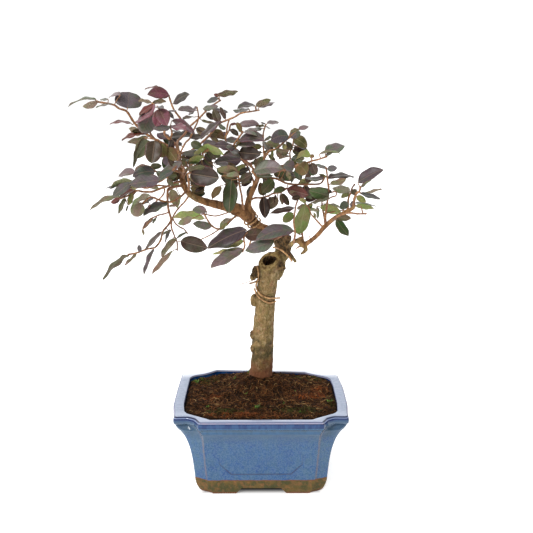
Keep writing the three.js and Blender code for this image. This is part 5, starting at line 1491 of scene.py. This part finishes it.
def carve_bark(wood):
    """Grooves and lumps of the bark, and marks for dark wood, painted shade beside the wires, bare wood and
    reddish bark.
    """
    centre, out = cut_frame()
    limbs = [stop for row in [TRUNK] + BRANCHES + SNAGS for stop in limb_stops(row)]
    limb_tree = tree_of([point for point, _ in limbs])
    wire_tree = tree_of([point for wire in WIRES for line in wire_lines(wire) for point in line])
    marks = []
    normals = [v.normal.copy() for v in wood.data.vertices]
    for vertex, normal in zip(wood.data.vertices, normals):
        point = vertex.co / MM - PLACE
        dark = nearness(point, DARK_WOOD)
        off = (point - centre).dot(out)
        aside = (point - centre - out * off).length
        sawn = (1 - smooth_step(0.6, 1.6, abs(off))) if aside < 16 and normal.dot(out) > 0.7 else 0.0
        hollow = aside < 8.5 and off < -0.8 and normal.dot(centre - out * off - point) > 0
        streak = noise.noise(Vector((point.x * 0.42, point.y * 0.42, point.z * 0.055)))
        fine = noise.noise(Vector((point.x * 1.1, point.y * 1.1, point.z * 0.2 + 7)))
        lump = noise.noise(Vector((point.x * 0.16, point.y * 0.16, point.z * 0.11 + 20)))
        rough = noise.noise(point * 0.55)
        grooves = BARK_GROOVE * (streak + 0.45 * fine) * (1 - sawn)
        lift = grooves + BARK_LUMP * lump + (0.2 + 1.5 * dark) * rough
        lift *= 0.3 + 0.7 * smooth_step(2, 8, limbs[limb_tree.find(point)[1]][1])
        pressed = 1 - smooth_step(*WIRE_PRESS, wire_tree.find(point)[2])
        vertex.co += normal * (blend(lift, -PRESS_DEPTH, pressed) * MM)
        bare = max(sawn, 0.75 * nearness(point, PALE_WOOD) * smooth_step(-0.2, 0.2, rough + 0.1))
        # The dark mark also holds painted shade beside the wires.
        marks.append((max(dark, 1.0 if hollow else 0.0, 0.6 * pressed), bare, nearness(point, RED_WOOD), 1.0))
    mark(wood, "wood_marks", marks)


def make_wood():
    """The trunk, branches, snags and knobs under one bark, with the rotten hole taken out of the stub."""
    bodies = [sawn_trunk()]
    bodies += [closed_limb(row) for row in BRANCHES + SNAGS]
    bodies += [closed_knob(see(x, z, y), radius, stretch) for x, z, y, radius, stretch in KNOBS]
    wood = new_piece("tree_wood", *join(bodies))
    remesh = wood.modifiers.new("skin", "REMESH")
    remesh.mode = "VOXEL"
    remesh.voxel_size = WOOD_VOXEL * MM
    remesh.use_smooth_shade = True
    apply_modifiers(wood)
    hollow = make_hollow()
    cut_out(wood, [hollow])
    soften = wood.modifiers.new("soften", "SMOOTH")
    soften.factor = 0.5
    soften.iterations = 2
    apply_modifiers(wood)
    discard([hollow])
    carve_bark(wood)
    wood.data.polygons.foreach_set("use_smooth", [True] * len(wood.data.polygons))
    own(wood, ["bark"], "bark", "trunk")


# Tying wires
WIRE_SIDES = 12
WIRE_STEP = 0.9


def wrap_route():
    """The middle line of a wire's turns round the first branch."""
    rows = BRANCHES[0][WRAP["first"]:WRAP["last"] + 1]
    points = seen(rows)
    run = (points[-1] - points[0]).normalized()
    first_turn, last_turn = WRAP["turns"]
    route = []
    for step in range(int((last_turn - first_turn) * WRAP["parts"]) + 1):
        turn = first_turn + step / WRAP["parts"]
        left = WRAP["start"] + turn * WRAP["pitch"]
        k = 0
        while k < len(points) - 2 and left > (points[k + 1] - points[k]).length:
            left -= (points[k + 1] - points[k]).length
            k += 1
        share = left / (points[k + 1] - points[k]).length
        centre = points[k].lerp(points[k + 1], share)
        radius = blend(rows[k][3], rows[k + 1][3], share) * WRAP["grip"] + WRAP["off"]
        up = run.cross((centre - EYE).normalized()).normalized()
        deep = up.cross(run).normalized()
        angle = 2 * math.pi * turn
        route.append(centre + up * (math.sin(angle) * radius) - deep * (math.cos(angle) * radius))
    return route


def wire_lines(wire):
    """The middle lines of a wire's strands."""
    name, _, *routes = wire
    strands = [seen(route) for route in routes]
    if name == WRAP["wire"]:
        strands.append(wrap_route())
    return [line_through(strand, WIRE_STEP) for strand in strands]


def make_wire(wire):
    name, radius = wire[:2]
    tubes = [lofted(tube_rings(line, [radius] * len(line), WIRE_SIDES)) for line in wire_lines(wire)]
    own(new_piece(name + "_round", *join(tubes)), ["wire"], "wire", name)


# Dead bits, each with a thick and a thin end and a route of [x, z, depth]: a twig beside the trunk,
# dry threads at the stub's wire, and a snag and a thorn on the right branch.
DEAD_TWIGS = [
    (0.45, 0.3, [[-6, 232.5, 10], [-13, 230, 9], [-19, 228, 8], [-26, 225.8, 6]]),
    (0.25, 0.12, [[34, 255, 3], [33, 252, 2], [30.5, 249, 2], [28.5, 246.5, 3]]),
    (0.25, 0.12, [[34, 255, 3], [34.6, 251, 3], [34, 247.5, 4]]),
    (0.25, 0.12, [[34, 255, 3], [36.4, 252, 2], [37, 249, 2]]),
    (1.4, 0.5, [[47, 272.5, -1], [43.5, 270.8, -1], [39.3, 268, -1]]),
    (0.6, 0.3, [[56, 278, -6], [55, 281, -7], [54.4, 283.4, -7]]),
]
DEAD_TWIG_STEP = 1.2
DEAD_TWIG_SIDES = 6


def make_dead_twigs():
    parts = []
    for thick, thin, route in DEAD_TWIGS:
        line = line_through(seen(route), DEAD_TWIG_STEP)
        radii = [blend(thick, thin, i / (len(line) - 1)) for i in range(len(line))]
        parts.append(lofted(tube_rings(line, radii, DEAD_TWIG_SIDES)))
    own(new_piece("dead_twigs", *join(parts)), ["twig"], "bark")


# Pot
POT_HEIGHT = 91.5
SHARP_DEGREES = 38
# How far the walls stand back beside the panels: outside, inside and under the foot.
PANEL_STEP = 1.8
INSIDE_STEP = 2.2
UNDER_STEP = 0.5
SIDE_BOW = 24.0
# Outside sizes by height: half length at the corners, half width at the panel, half width of the panel.
SIDE_KEYS = [(0, 67.7), (2.3, 70.3), (5, 71.9), (9, 73.7), (14, 74.9), (19, 75.3), (29, 76.3), (39, 77.5),
             (49, 79.3), (54, 80.5), (59, 82.2), (64, 84.2), (68.5, 86.8), (73.5, 90.9), (78, 95.3),
             (80, 96.5), (82.4, 97.5), (86, 97.9), (88.6, 97.5), (90.6, 96.5), (91.5, 95.3)]
FRONT_KEYS = [(0, 66), (3, 67), (18, 66.2), (33, 66.5), (48.5, 67.5), (58.7, 68.7), (68, 70.1), (73.2, 71.0),
              (74.6, 71.9), (79.6, 72.4), (80.9, 72.3), (82.2, 74.9), (83.6, 76.1), (87, 76.5),
              (89.8, 76.1), (91, 75.0), (91.5, 73.9)]
EDGE_KEYS = [(0, 55), (8, 59), (18, 61), (33, 62.5), (48.5, 63.5), (58.7, 64.5), (68, 66), (75, 67)]
# How deep the corner's chamfer runs from front to back, by height.
CHAMFER_KEYS = [(0, 7), (18, 7.5), (33, 8), (48.5, 9), (58.7, 10), (68, 11), (75, 12)]
INSIDE_CHAMFER = 14.0
UNDER_CHAMFER = 12.0
# How far the corner has turned from a plain chamfer into the flared ear.
EAR_KEYS = [(56, 0.0), (68, 0.22), (75, 0.5), (80, 0.95), (82, 1.0)]
# A quarter of the lip's outline and of the mouth's, corner by corner from the side to the front.
LIP_QUARTER = [(97.2, 24), (96, 58.5), (94.4, 61), (80.4, 60.4), (72.6, 64.8), (68.6, 72), (66.6, 75.5)]
MOUTH_QUARTER = [(86, 24), (85.6, 45), (83, 50.2), (79, 53.4), (68, 59.8), (60, 64.6), (56, 67.6)]
# How round each corner of an outline is: the length that its arc takes off the straights.
CORNER_CUTS = [14, 1.8, 1.6, 3.0, 2.4, 0.8, 0.7]
ARC_PARTS = 4
# Parts of the straight after each corner of a quarter, and of the two straights between quarters.
STRAIGHT_PARTS = [5, 1, 2, 2, 2, 1]
SIDE_PARTS = 8
FRONT_PARTS = 22
FLOOR_UNDER = 7.0
FLOOR_TOP = 14.0
# The inside of the wall from the floor up: height, half length, half width and half width of the straight.
INNER_WALL = [(FLOOR_TOP, 66, 58, 52), (48, 72, 60, 54), (70, 79, 63, 56)]
# The heights of the outside's rings: close at the foot, even up the wall, close round the lip.
OUTER_HEIGHTS = [0.0, 0.5, 1.2, 2.3, 4.5, 7, 10, 13, 16, 17.4, 18, 18.6, 20]
OUTER_HEIGHTS += [20 + 2.5 * i for i in range(1, 21)]
OUTER_HEIGHTS += [71.5, 72.6, 73.2, 73.8, 74.6, 75.6, 77, 78.5, 79.6, 80.3, 80.9, 81.4, 81.9, 82.4, 83, 83.8,
                  84.8, 86, 87.4, 88.6, 89.6, 90.3, 90.8, 91.2, 91.4, 91.5]
# The rim's flat top rises a little in its middle.
RIM_RISE = 0.35
# Rings down the mouth: height, and how much wider than its outline.
MOUTH_RINGS = [(91.45, 0.5), (91.2, 0.2), (90.6, 0.0), (89, -0.1), (84, -0.1)]
FOOT_RING = 9.0
# Half widths of the gaps between the feet, at the ground and at the top.
FOOT_GAP_FRONT = (28.5, 22.5)
FOOT_GAP_SIDE = (19.0, 14.0)
DRAIN_RADIUS = 6.0
DRAIN_X = 36.0
DRAIN_SIDES = 32


def wall_quarter(side, front, edge, deep, step):
    """The corners of a quarter of a chamfered wall, from its side to its front panel."""
    corner = (side, front - deep)
    run = (edge + 0.4 - side, front - step - corner[1])
    chamfer = [(corner[0] + run[0] * t, corner[1] + run[1] * t) for t in (0, 0.36, 0.68, 1)]
    return [(side + 0.3, SIDE_BOW), *chamfer, (edge, front - 0.3), (edge - 1, front)]


def outer_quarter(z):
    """The corners of a quarter of the pot's outline at one height, from its side to its front."""
    side, front, edge = through(SIDE_KEYS, z), through(FRONT_KEYS, z), through(EDGE_KEYS, z)
    ear = through(EAR_KEYS, z)
    lip_x, lip_y = side - LIP_QUARTER[1][0], front - LIP_QUARTER[-1][1]
    wall = wall_quarter(side, front, edge, through(CHAMFER_KEYS, z), PANEL_STEP)
    lip = [(x + lip_x, y + lip_y) for x, y in LIP_QUARTER]
    return [(blend(wx, lx, ear), blend(wy, ly, ear)) for (wx, wy), (lx, ly) in zip(wall, lip)]


def grown(quarter, by):
    return [(x + by, y + by) for x, y in quarter]


def mirrored(quarter):
    """The whole outline, counter-clockwise from the right side, and the quarter's number of each corner."""
    numbers = list(range(len(quarter)))
    back = quarter[::-1]
    outline = quarter + [(-x, y) for x, y in back]
    outline += [(-x, -y) for x, y in quarter] + [(x, -y) for x, y in back]
    return outline, (numbers + numbers[::-1]) * 2


def outline_ring(quarter, z):
    """A level ring round an outline with its corners rounded. The count is the same for every quarter."""
    outline, numbers = mirrored(quarter)
    count = len(outline)
    arcs = []
    for i, number in enumerate(numbers):
        before, corner, after = (Vector((*outline[j % count], z)) for j in (i - 1, i, i + 1))
        cut = CORNER_CUTS[number]
        start = corner + (before - corner) * min(0.45, cut / (before - corner).length)
        end = corner + (after - corner) * min(0.45, cut / (after - corner).length)
        turns = [k / ARC_PARTS for k in range(ARC_PARTS + 1)]
        arcs.append([start * (1 - t) ** 2 + corner * (2 * t * (1 - t)) + end * t * t for t in turns])
    points = []
    for i, arc in enumerate(arcs):
        here, there = numbers[i], numbers[(i + 1) % count]
        if here != there:
            parts = STRAIGHT_PARTS[min(here, there)]
        else:
            parts = FRONT_PARTS if here else SIDE_PARTS
        following = arcs[(i + 1) % count][0]
        points += arc + [arc[-1].lerp(following, k / parts) for k in range(1, parts)]
    return points


def inner_rings(clear):
    """Rings up the inside of the wall, clear of the wall and of the floor."""
    rings = []
    for z, side, front, edge in INNER_WALL:
        quarter = wall_quarter(side - clear, front - clear, edge, INSIDE_CHAMFER, INSIDE_STEP)
        rings.append(outline_ring(quarter, max(z, FLOOR_TOP + clear)))
    return rings


def pot_rings():
    """Rings up the outside, over the rim and down the inside to the floor."""
    rings = [outline_ring(outer_quarter(z), z) for z in OUTER_HEIGHTS]
    top, mouth = rings[-1], outline_ring(grown(MOUTH_QUARTER, 0.6), 0)
    for t in (0.1, 0.25, 0.5, 0.75, 0.9):
        z = POT_HEIGHT + RIM_RISE * math.sin(math.pi * t)
        rings.append([Vector((*a.lerp(b, t).xy, z)) for a, b in zip(top, mouth)])
    rings += [outline_ring(grown(MOUTH_QUARTER, grow), z) for z, grow in MOUTH_RINGS]
    return rings + inner_rings(0)[::-1]


def settled(point):
    """Where a point of the pot lies after firing: the rim reaches further out at the left and the back."""
    x, y, z = point
    high = smooth_step(52, 86, z)
    corner = smooth_step(56, 80, -x)
    left = within(-56, 56, -x)
    spread = 4.5 * (1 - corner) * smooth_step(53, 66, y)
    spread += 3.5 * (smooth_step(56, 67.6, y) - smooth_step(67.6, 75.5, y))
    side = 1.5 * smooth_step(55, 86, x) * (1 - smooth_step(20, 55, y)) - 2.8 * smooth_step(55, 86, -x)
    return Vector((x + high * side * smooth_step(-56, -20, y),
                   y + high * (6 * corner * smooth_step(10, 50, y) + left * spread), z))


def settle(piece):
    """Fits the pot, or what lies in it, to the warped rim."""
    for vertex in piece.data.vertices:
        vertex.co = metres(settled(vertex.co / MM - PLACE))
    return piece


def prism(outline, axis, low, high):
    """A straight body to cut with: an outline of (a, b) points run along the x, y or z axis."""
    def place(a, b, c):
        return Vector({"x": (c, a, b), "y": (a, c, b), "z": (a, b, c)}[axis])
    rings = [[place(a, b, c) for a, b in outline] for c in (low, high)]
    piece = new_piece("cutting_tool", *lofted(rings))
    shape = bmesh.new()
    shape.from_mesh(piece.data)
    bmesh.ops.recalc_face_normals(shape, faces=shape.faces)
    shape.to_mesh(piece.data)
    shape.free()
    return piece


def foot_tools():
    """What is taken out under the pot: the recess, the gaps between the feet and the drain holes."""
    def gap(low, top):
        return [(-low - 1, -1), (low + 1, -1), (low, 0), (top, FLOOR_UNDER), (-top, FLOOR_UNDER), (-low, 0)]
    recess = wall_quarter(67 - FOOT_RING + 1, 66 - FOOT_RING + 1, 49, UNDER_CHAMFER, UNDER_STEP)
    tools = [prism([(p.x, p.y) for p in outline_ring(recess, 0)], "z", -1, FLOOR_UNDER),
             prism(gap(*FOOT_GAP_FRONT), "y", -90, 90), prism(gap(*FOOT_GAP_SIDE), "x", -110, 110)]
    for x in (-DRAIN_X, DRAIN_X):
        turns = [2 * math.pi * k / DRAIN_SIDES for k in range(DRAIN_SIDES)]
        ring = [(x + DRAIN_RADIUS * math.cos(turn), DRAIN_RADIUS * math.sin(turn)) for turn in turns]
        tools.append(prism(ring, "z", -2, FLOOR_TOP + 5))
    return tools


def glaze_mark(point):
    """How much of a point is a thin-glazed edge, the rim's flat top, the straight lip and a corner's ear."""
    x, y, z = abs(point.x), abs(point.y), point.z
    quarter = outer_quarter(min(POT_HEIGHT, max(0.0, z)))
    thin = 0.0
    if z < 81:
        for number, reach in ((5, 1.7), (4, 1.3)):
            gap = math.hypot(x - quarter[number][0], y - quarter[number][1])
            thin = max(thin, 1 - smooth_step(0.2, reach, gap))
    inner = x < 91 and y < 71.5 and x + 1.35 * y < 156 and z > 60
    front = smooth_step(-2.2, -0.6, y - quarter[6][1]) * smooth_step(2.0, 0.4, x - quarter[6][0])
    flank = smooth_step(-2.2, -0.8, x - quarter[0][0]) * smooth_step(1.0, -2.0, y - quarter[1][1])
    straight = 1.0 if inner else max(front, flank)
    # The rim, lip and ear amounts also mark where the glaze gets painted reflection and painted highlights.
    return (thin, smooth_step(91.2, 91.36, z), straight * smooth_step(74.0, 76.5, z),
            (1 - straight) * smooth_step(85.0, 86.5, z))


def make_pot():
    pot = new_piece("glazed_pot", *lofted(pot_rings()))
    tools = foot_tools()
    cut_out(pot, tools)
    apply_modifiers(pot)
    discard(tools)
    mark(pot, "glaze_and_painted_light_marks", [glaze_mark(vertex.co / MM - PLACE) for vertex in pot.data.vertices])
    pot.data.set_sharp_from_angle(angle=math.radians(SHARP_DEGREES))
    own(settle(pot), ["glaze"], "glaze", "pot")


# Soil
SOIL_EDGE = 88.7
SOIL_FALL = 0.026
SOIL_CLEAR = 0.4
SOIL_RINGS = 96
MOUND_HEIGHT = 16.0
MOUND_SPREAD = 34.0
TRUNK_FOOT = (-0.5, 34.0)
# Patches of the ground, (x, y, half length, half width): rusty fibre and moss.
RUSTY = [(58, -2, 26, 12), (-56, -6, 14, 9), (-20, -55, 40, 8), (70, 14, 12, 10)]
MOSSY = [(-70, 45, 22, 16), (14, 52, 16, 8), (62, 50, 26, 10), (40, -42, 30, 12), (-40, -46, 30, 10),
         (-5, -36, 8, 6), (-14, 50, 12, 8), (80, -20, 8, 18)]


def soil_height(x, y):
    """The ground's even surface: lower at the back, mounded round the trunk, with shallow lumps."""
    far = math.hypot(x - 1, (y - 30) * 1.1)
    mound = MOUND_HEIGHT * math.exp(-((far / MOUND_SPREAD) ** 2))
    lumps = 0.9 * math.sin(x * 0.13 + 1) * math.cos(y * 0.17) + 0.6 * math.sin(x * 0.31 + y * 0.23)
    return SOIL_EDGE - SOIL_FALL * y + mound + lumps


def ground_relief(x, y):
    """How far the crumbly ground stands above or below its even surface."""
    spot = Vector((x, y, 0))
    bank = 1.8 * smooth_step(24, 60, x) * smooth_step(10, 50, y) + 1.2 * smooth_step(50, 84, x)
    bank += 2.6 * math.exp(-((x / 20) ** 2 + ((y - 26) / 18) ** 2))
    clods, crumbs, swells = noise.noise(spot * 0.42), noise.noise(spot * 1.05), noise.noise(spot * 0.16)
    return bank + clods * 1.5 + crumbs * 0.9 + swells * 1.1


def rough_ground(x, y):
    return soil_height(x, y) + ground_relief(x, y)


def patch(x, y, spots):
    """How much a place lies in any of the patches, from 0 to 1."""
    return max(1 - smooth_step(0.35, 1.1, math.hypot((x - a) / b, (y - c) / d)) for a, c, b, d in spots)


def soil_mark(point, hollow=0.0):
    return (hollow, patch(point.x, point.y, RUSTY), patch(point.x, point.y, MOSSY), 1.0)


def make_soil():
    """The body of soil: up the inside of the wall to the mouth, then in rings over the rough ground."""
    edge = outline_ring(grown(MOUTH_QUARTER, -SOIL_CLEAR), 82)
    rings = inner_rings(SOIL_CLEAR) + [edge]
    for k in range(SOIL_RINGS):
        share = 1 - k / SOIL_RINGS * 0.985
        drop = 1.6 * smooth_step(0.965, 1.0, share)
        places = [(p.x * share, p.y * share) for p in edge]
        rings.append([Vector((x, y, rough_ground(x, y) - drop)) for x, y in places])
    vertices, faces = lofted(rings)
    soil = new_piece("potting_soil", vertices, faces)
    marks = []
    for p in vertices:
        # Painted shade, deepest where the rough ground dips below its even surface.
        hollow = smooth_step(0.3, -1.1, p.z - soil_height(p.x, p.y)) if p.z > 84 else 0.0
        marks.append(soil_mark(p, hollow))
    mark(soil, "soil_marks", marks)
    own(settle(soil), ["soil"], "soil", "soil")


def in_mouth(x, y, inset):
    """Whether a place lies within the pot's mouth, at least inset from its edge."""
    ax, ay = abs(x) + inset, abs(y) + inset
    return ax < 86 and ay < 67 and ax + ay * 1.35 < 148


def soil_spot(draw, inset, clear):
    """A place drawn on the soil, inset from the mouth's edge and clear of the trunk."""
    while True:
        x, y = draw.uniform(-84, 84), draw.uniform(-65, 65)
        if in_mouth(x, y, inset) and math.hypot(x - TRUNK_FOOT[0], y - TRUNK_FOOT[1]) >= clear:
            return x, y


# Threads in the soil: their colours, each up to a share of them, and those of the two kinds of patches.
THREAD_COLOURS = [(0.34, (46, 27, 13)), (0.62, (82, 48, 23)), (0.83, (116, 72, 37)), (0.95, (134, 94, 54)),
                  (1.0, (164, 132, 86))]
PATCH_THREADS = [(RUSTY, (138, 72, 30)), (MOSSY, (68, 70, 24))]
THREAD_PARTS = 6
THREAD_SIDES = 4
# The loose threads: how many, the seed of their draws, ranges of length, radius and lift, and their colours.
FIBRES = {
    "root_threads": (2500, 21, (5, 16), (0.22, 0.44), (0.1, 1.6), THREAD_COLOURS),
    "straw_bits": (36, 22, (8, 20), (0.22, 0.36), (0.8, 3.2), THREAD_COLOURS[-2:]),
}


def make_fibres(name, count, seed, length, radius, lift, colours):
    """Dry roots, needles and straw that lie on the soil, each a thin bent thread with a colour of its own."""
    draw = random.Random(seed)
    parts, tints = [], []
    while len(parts) < count:
        x, y = soil_spot(draw, 3.5, 17)
        heading, bend = draw.uniform(-0.5, math.pi - 0.5), draw.uniform(-1.8, 1.8)
        reach, thick, arch = draw.uniform(*length), draw.uniform(*radius), draw.uniform(*lift)
        points = []
        for i in range(THREAD_PARTS + 1):
            t = i / THREAD_PARTS
            angle = heading + bend * (t - 0.5)
            px = x + math.cos(angle) * reach * (t - 0.5)
            py = y + math.sin(angle) * reach * (t - 0.5)
            if not in_mouth(px, py, 1.5):
                break
            height = rough_ground(px, py) + thick * 0.5 + arch * math.sin(math.pi * t)
            points.append(Vector((px, py, height)))
        if len(points) < 4:
            continue
        radii = [thick * (1 - 0.5 * abs(2 * i / (len(points) - 1) - 1)) for i in range(len(points))]
        parts.append(lofted(tube_rings(points, radii, THREAD_SIDES)))
        pick, light = draw.random(), draw.uniform(0.7, 1.3)
        shade = next(shade for share, shade in colours if pick <= share)
        for spots, patch_shade in PATCH_THREADS:
            if draw.random() < 0.6 * patch(x, y, spots):
                shade = patch_shade
        red, green, blue, _ = from_srgb(*shade)
        tints += [(red * light, green * light, blue * light, 1.0)] * (THREAD_SIDES * len(points))
    piece = new_piece(name, *join(parts))
    mark(piece, "thread_tint", tints)
    own(settle(piece), ["root_thread"], "soil")


CRUMB_COUNT = 1100
CRUMB_SEED = 5
CRUMB_SIDES = 6
# The rings of a crumb: height and radius as shares of its size.
CRUMB_RINGS = [(-0.8, 0.5), (-0.1, 1.0), (0.6, 0.75)]


def make_crumbs():
    """Loose grains of soil, each a small uneven lump."""
    draw = random.Random(CRUMB_SEED)
    parts = []
    turns = [k * math.pi * 2 / CRUMB_SIDES for k in range(CRUMB_SIDES)]
    for _ in range(CRUMB_COUNT):
        x, y = soil_spot(draw, 2.5, 15)
        size = draw.uniform(0.5, 1.7)
        centre = Vector((x, y, rough_ground(x, y) + size * 0.25))
        rings = []
        for height, share in CRUMB_RINGS:
            rings.append([centre + Vector((math.cos(turn) * share * draw.uniform(0.7, 1.2),
                                           math.sin(turn) * share * draw.uniform(0.7, 1.2),
                                           height * 0.8)) * size for turn in turns])
        parts.append(lofted(rings))
    vertices, faces = join(parts)
    piece = new_piece("soil_crumbs", vertices, faces, smooth=False)
    mark(piece, "soil_marks", [soil_mark(p) for p in vertices])
    own(settle(piece), ["soil"], "soil")


# Seedlings: (x, y, height, leaves) on the soil.
SPROUTS = [(-5, -38, 6, 10), (-61, -31, 4, 6), (-18, -2, 4, 6), (27, -25, 3, 5), (78, -22, 5, 7),
           (-15, 52, 8, 8), (12, 50, 5, 6), (-78, 40, 6, 8), (44, -46, 4, 5), (42, 6, 3, 4), (-72, 47, 5, 6),
           (-33, 40, 5, 5)]
SPROUT_SEED = 11


def make_sprouts():
    """Tufts of small upright leaves, each a thin blade that bends outwards."""
    draw = random.Random(SPROUT_SEED)
    parts = []
    for x, y, height, leaves in SPROUTS:
        for _ in range(leaves):
            heading, lean = draw.uniform(0, 2 * math.pi), draw.uniform(0.15, 0.9)
            out = Vector((math.cos(heading), math.sin(heading), 0))
            across = Vector((-out.y, out.x, 0))
            start = Vector((x + draw.uniform(-1.5, 1.5), y + draw.uniform(-1.5, 1.5), 0))
            start.z = rough_ground(start.x, start.y) - 0.3
            tall = height * draw.uniform(0.55, 1.0)
            wide = draw.uniform(0.5, 1.1)
            rings = []
            for i in range(6):
                t = i / 5
                rise = Vector((0, 0, tall * t * (1 - 0.25 * lean * t)))
                middle = start + rise + out * (tall * lean * t * t)
                half = across * (wide * math.sin(math.pi * min(0.97, 0.12 + 0.85 * t)) * 0.9)
                thick = out * 0.16
                rings.append([middle - half, middle + thick, middle + half, middle - thick])
            parts.append(lofted(rings))
    own(settle(new_piece("soil_sprouts", *join(parts))), ["sprout"], "soil")


# Stage and light
FLOOR_REACH = 4000
# The floor has a painted shadow under the foot: half sizes of that shade in metres, and from where to where
# it fades.
SHADE_HALF = (0.062, 0.060)
SHADE_FADE = (-0.006, 0.012)
# The key light: its place, what it is turned to, its size in metres and its power.
KEY_PLACE = Vector((-1.1, -1.5, 1.7))
KEY_AIM = Vector((0.0, 0.0, 0.25))
KEY_SIZE = 0.9
KEY_POWER = 38


def make_stage():
    """A white floor that glows a little, with a painted shadow under the pot's foot."""
    corners = [(-1, -1), (1, -1), (1, 1), (-1, 1)]
    vertices = [Vector((x * FLOOR_REACH, y * FLOOR_REACH, 0)) - PLACE for x, y in corners]
    floor = new_piece("studio_floor", vertices, [(0, 1, 2, 3)], smooth=False)
    tree, inputs = start_material("studio_white", (255, 255, 255), 1.0, 0.0)
    feed(inputs["Emission Strength"], 0.5)
    x, y, _ = parts_of(place_in(tree))
    out_x = abs(x - PLACE.x * MM) - SHADE_HALF[0]
    out_y = abs(y - PLACE.y * MM) - SHADE_HALF[1]
    open_floor = out_x.math("MAXIMUM", out_y).ramp(*SHADE_FADE)
    # Painted shadow: dark and without glow under the foot.
    feed(inputs["Base Color"], layered((34, 22, 16), (open_floor, 1, WHITE)))
    feed(inputs["Emission Color"], layered(BLACK, (open_floor, 1, WHITE)))
    floor.data.materials.append(MATERIALS["studio_white"])


def make_world():
    """A white studio: bright low behind the plant and overhead, dim in front."""
    world = bpy.data.worlds.new("studio")
    bpy.context.scene.world = world
    world.use_nodes = True
    tree = world.node_tree
    tree.nodes.clear()
    x, y, z = parts_of(place_in(tree, "Generated"))
    low = z.ramp(0.05, 0.22) * z.fall(0.45, 0.8)
    glow = y.ramp(-0.2, 0.8) * low * 1.8
    sides = x.ramp(0.8, -0.9, 0.0, 0.25) + z.ramp(0.3, 0.95, 0.0, 0.75)
    strength = glow + 0.2 + sides
    light = put(tree, "ShaderNodeBackground", None, Color=WHITE, Strength=strength)
    backdrop = put(tree, "ShaderNodeBackground", None, Color=WHITE, Strength=1.1)
    seen_directly = Value(put(tree, "ShaderNodeLightPath").outputs["Is Camera Ray"])
    mix = put(tree, "ShaderNodeMixShader", None, _0=seen_directly, _1=Value(light.outputs[0]),
              _2=Value(backdrop.outputs[0]))
    put(tree, "ShaderNodeOutputWorld", None, Surface=Value(mix.outputs[0]))


def make_key_light():
    data = bpy.data.lights.new("key", "AREA")
    data.shape = "DISK"
    data.size = KEY_SIZE
    data.energy = KEY_POWER
    lamp = bpy.data.objects.new("key", data)
    lamp.location = KEY_PLACE
    lamp.rotation_euler = (KEY_AIM - KEY_PLACE).to_track_quat("-Z", "Y").to_euler()
    bpy.context.collection.objects.link(lamp)


make_camera()
make_materials()
make_pot()
make_soil()
make_crumbs()
for fibres, measures in FIBRES.items():
    make_fibres(fibres, *measures)
make_sprouts()
make_wood()
make_dead_twigs()
for wire in WIRES:
    make_wire(wire)
make_leaves()
for node in ("drain_screen_left", "drain_screen_right"):
    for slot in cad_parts[node].material_slots:
        slot.material = MATERIALS["screen"]
make_stage()
make_world()
make_key_light()
bpy.context.scene.view_settings.view_transform = "Standard"
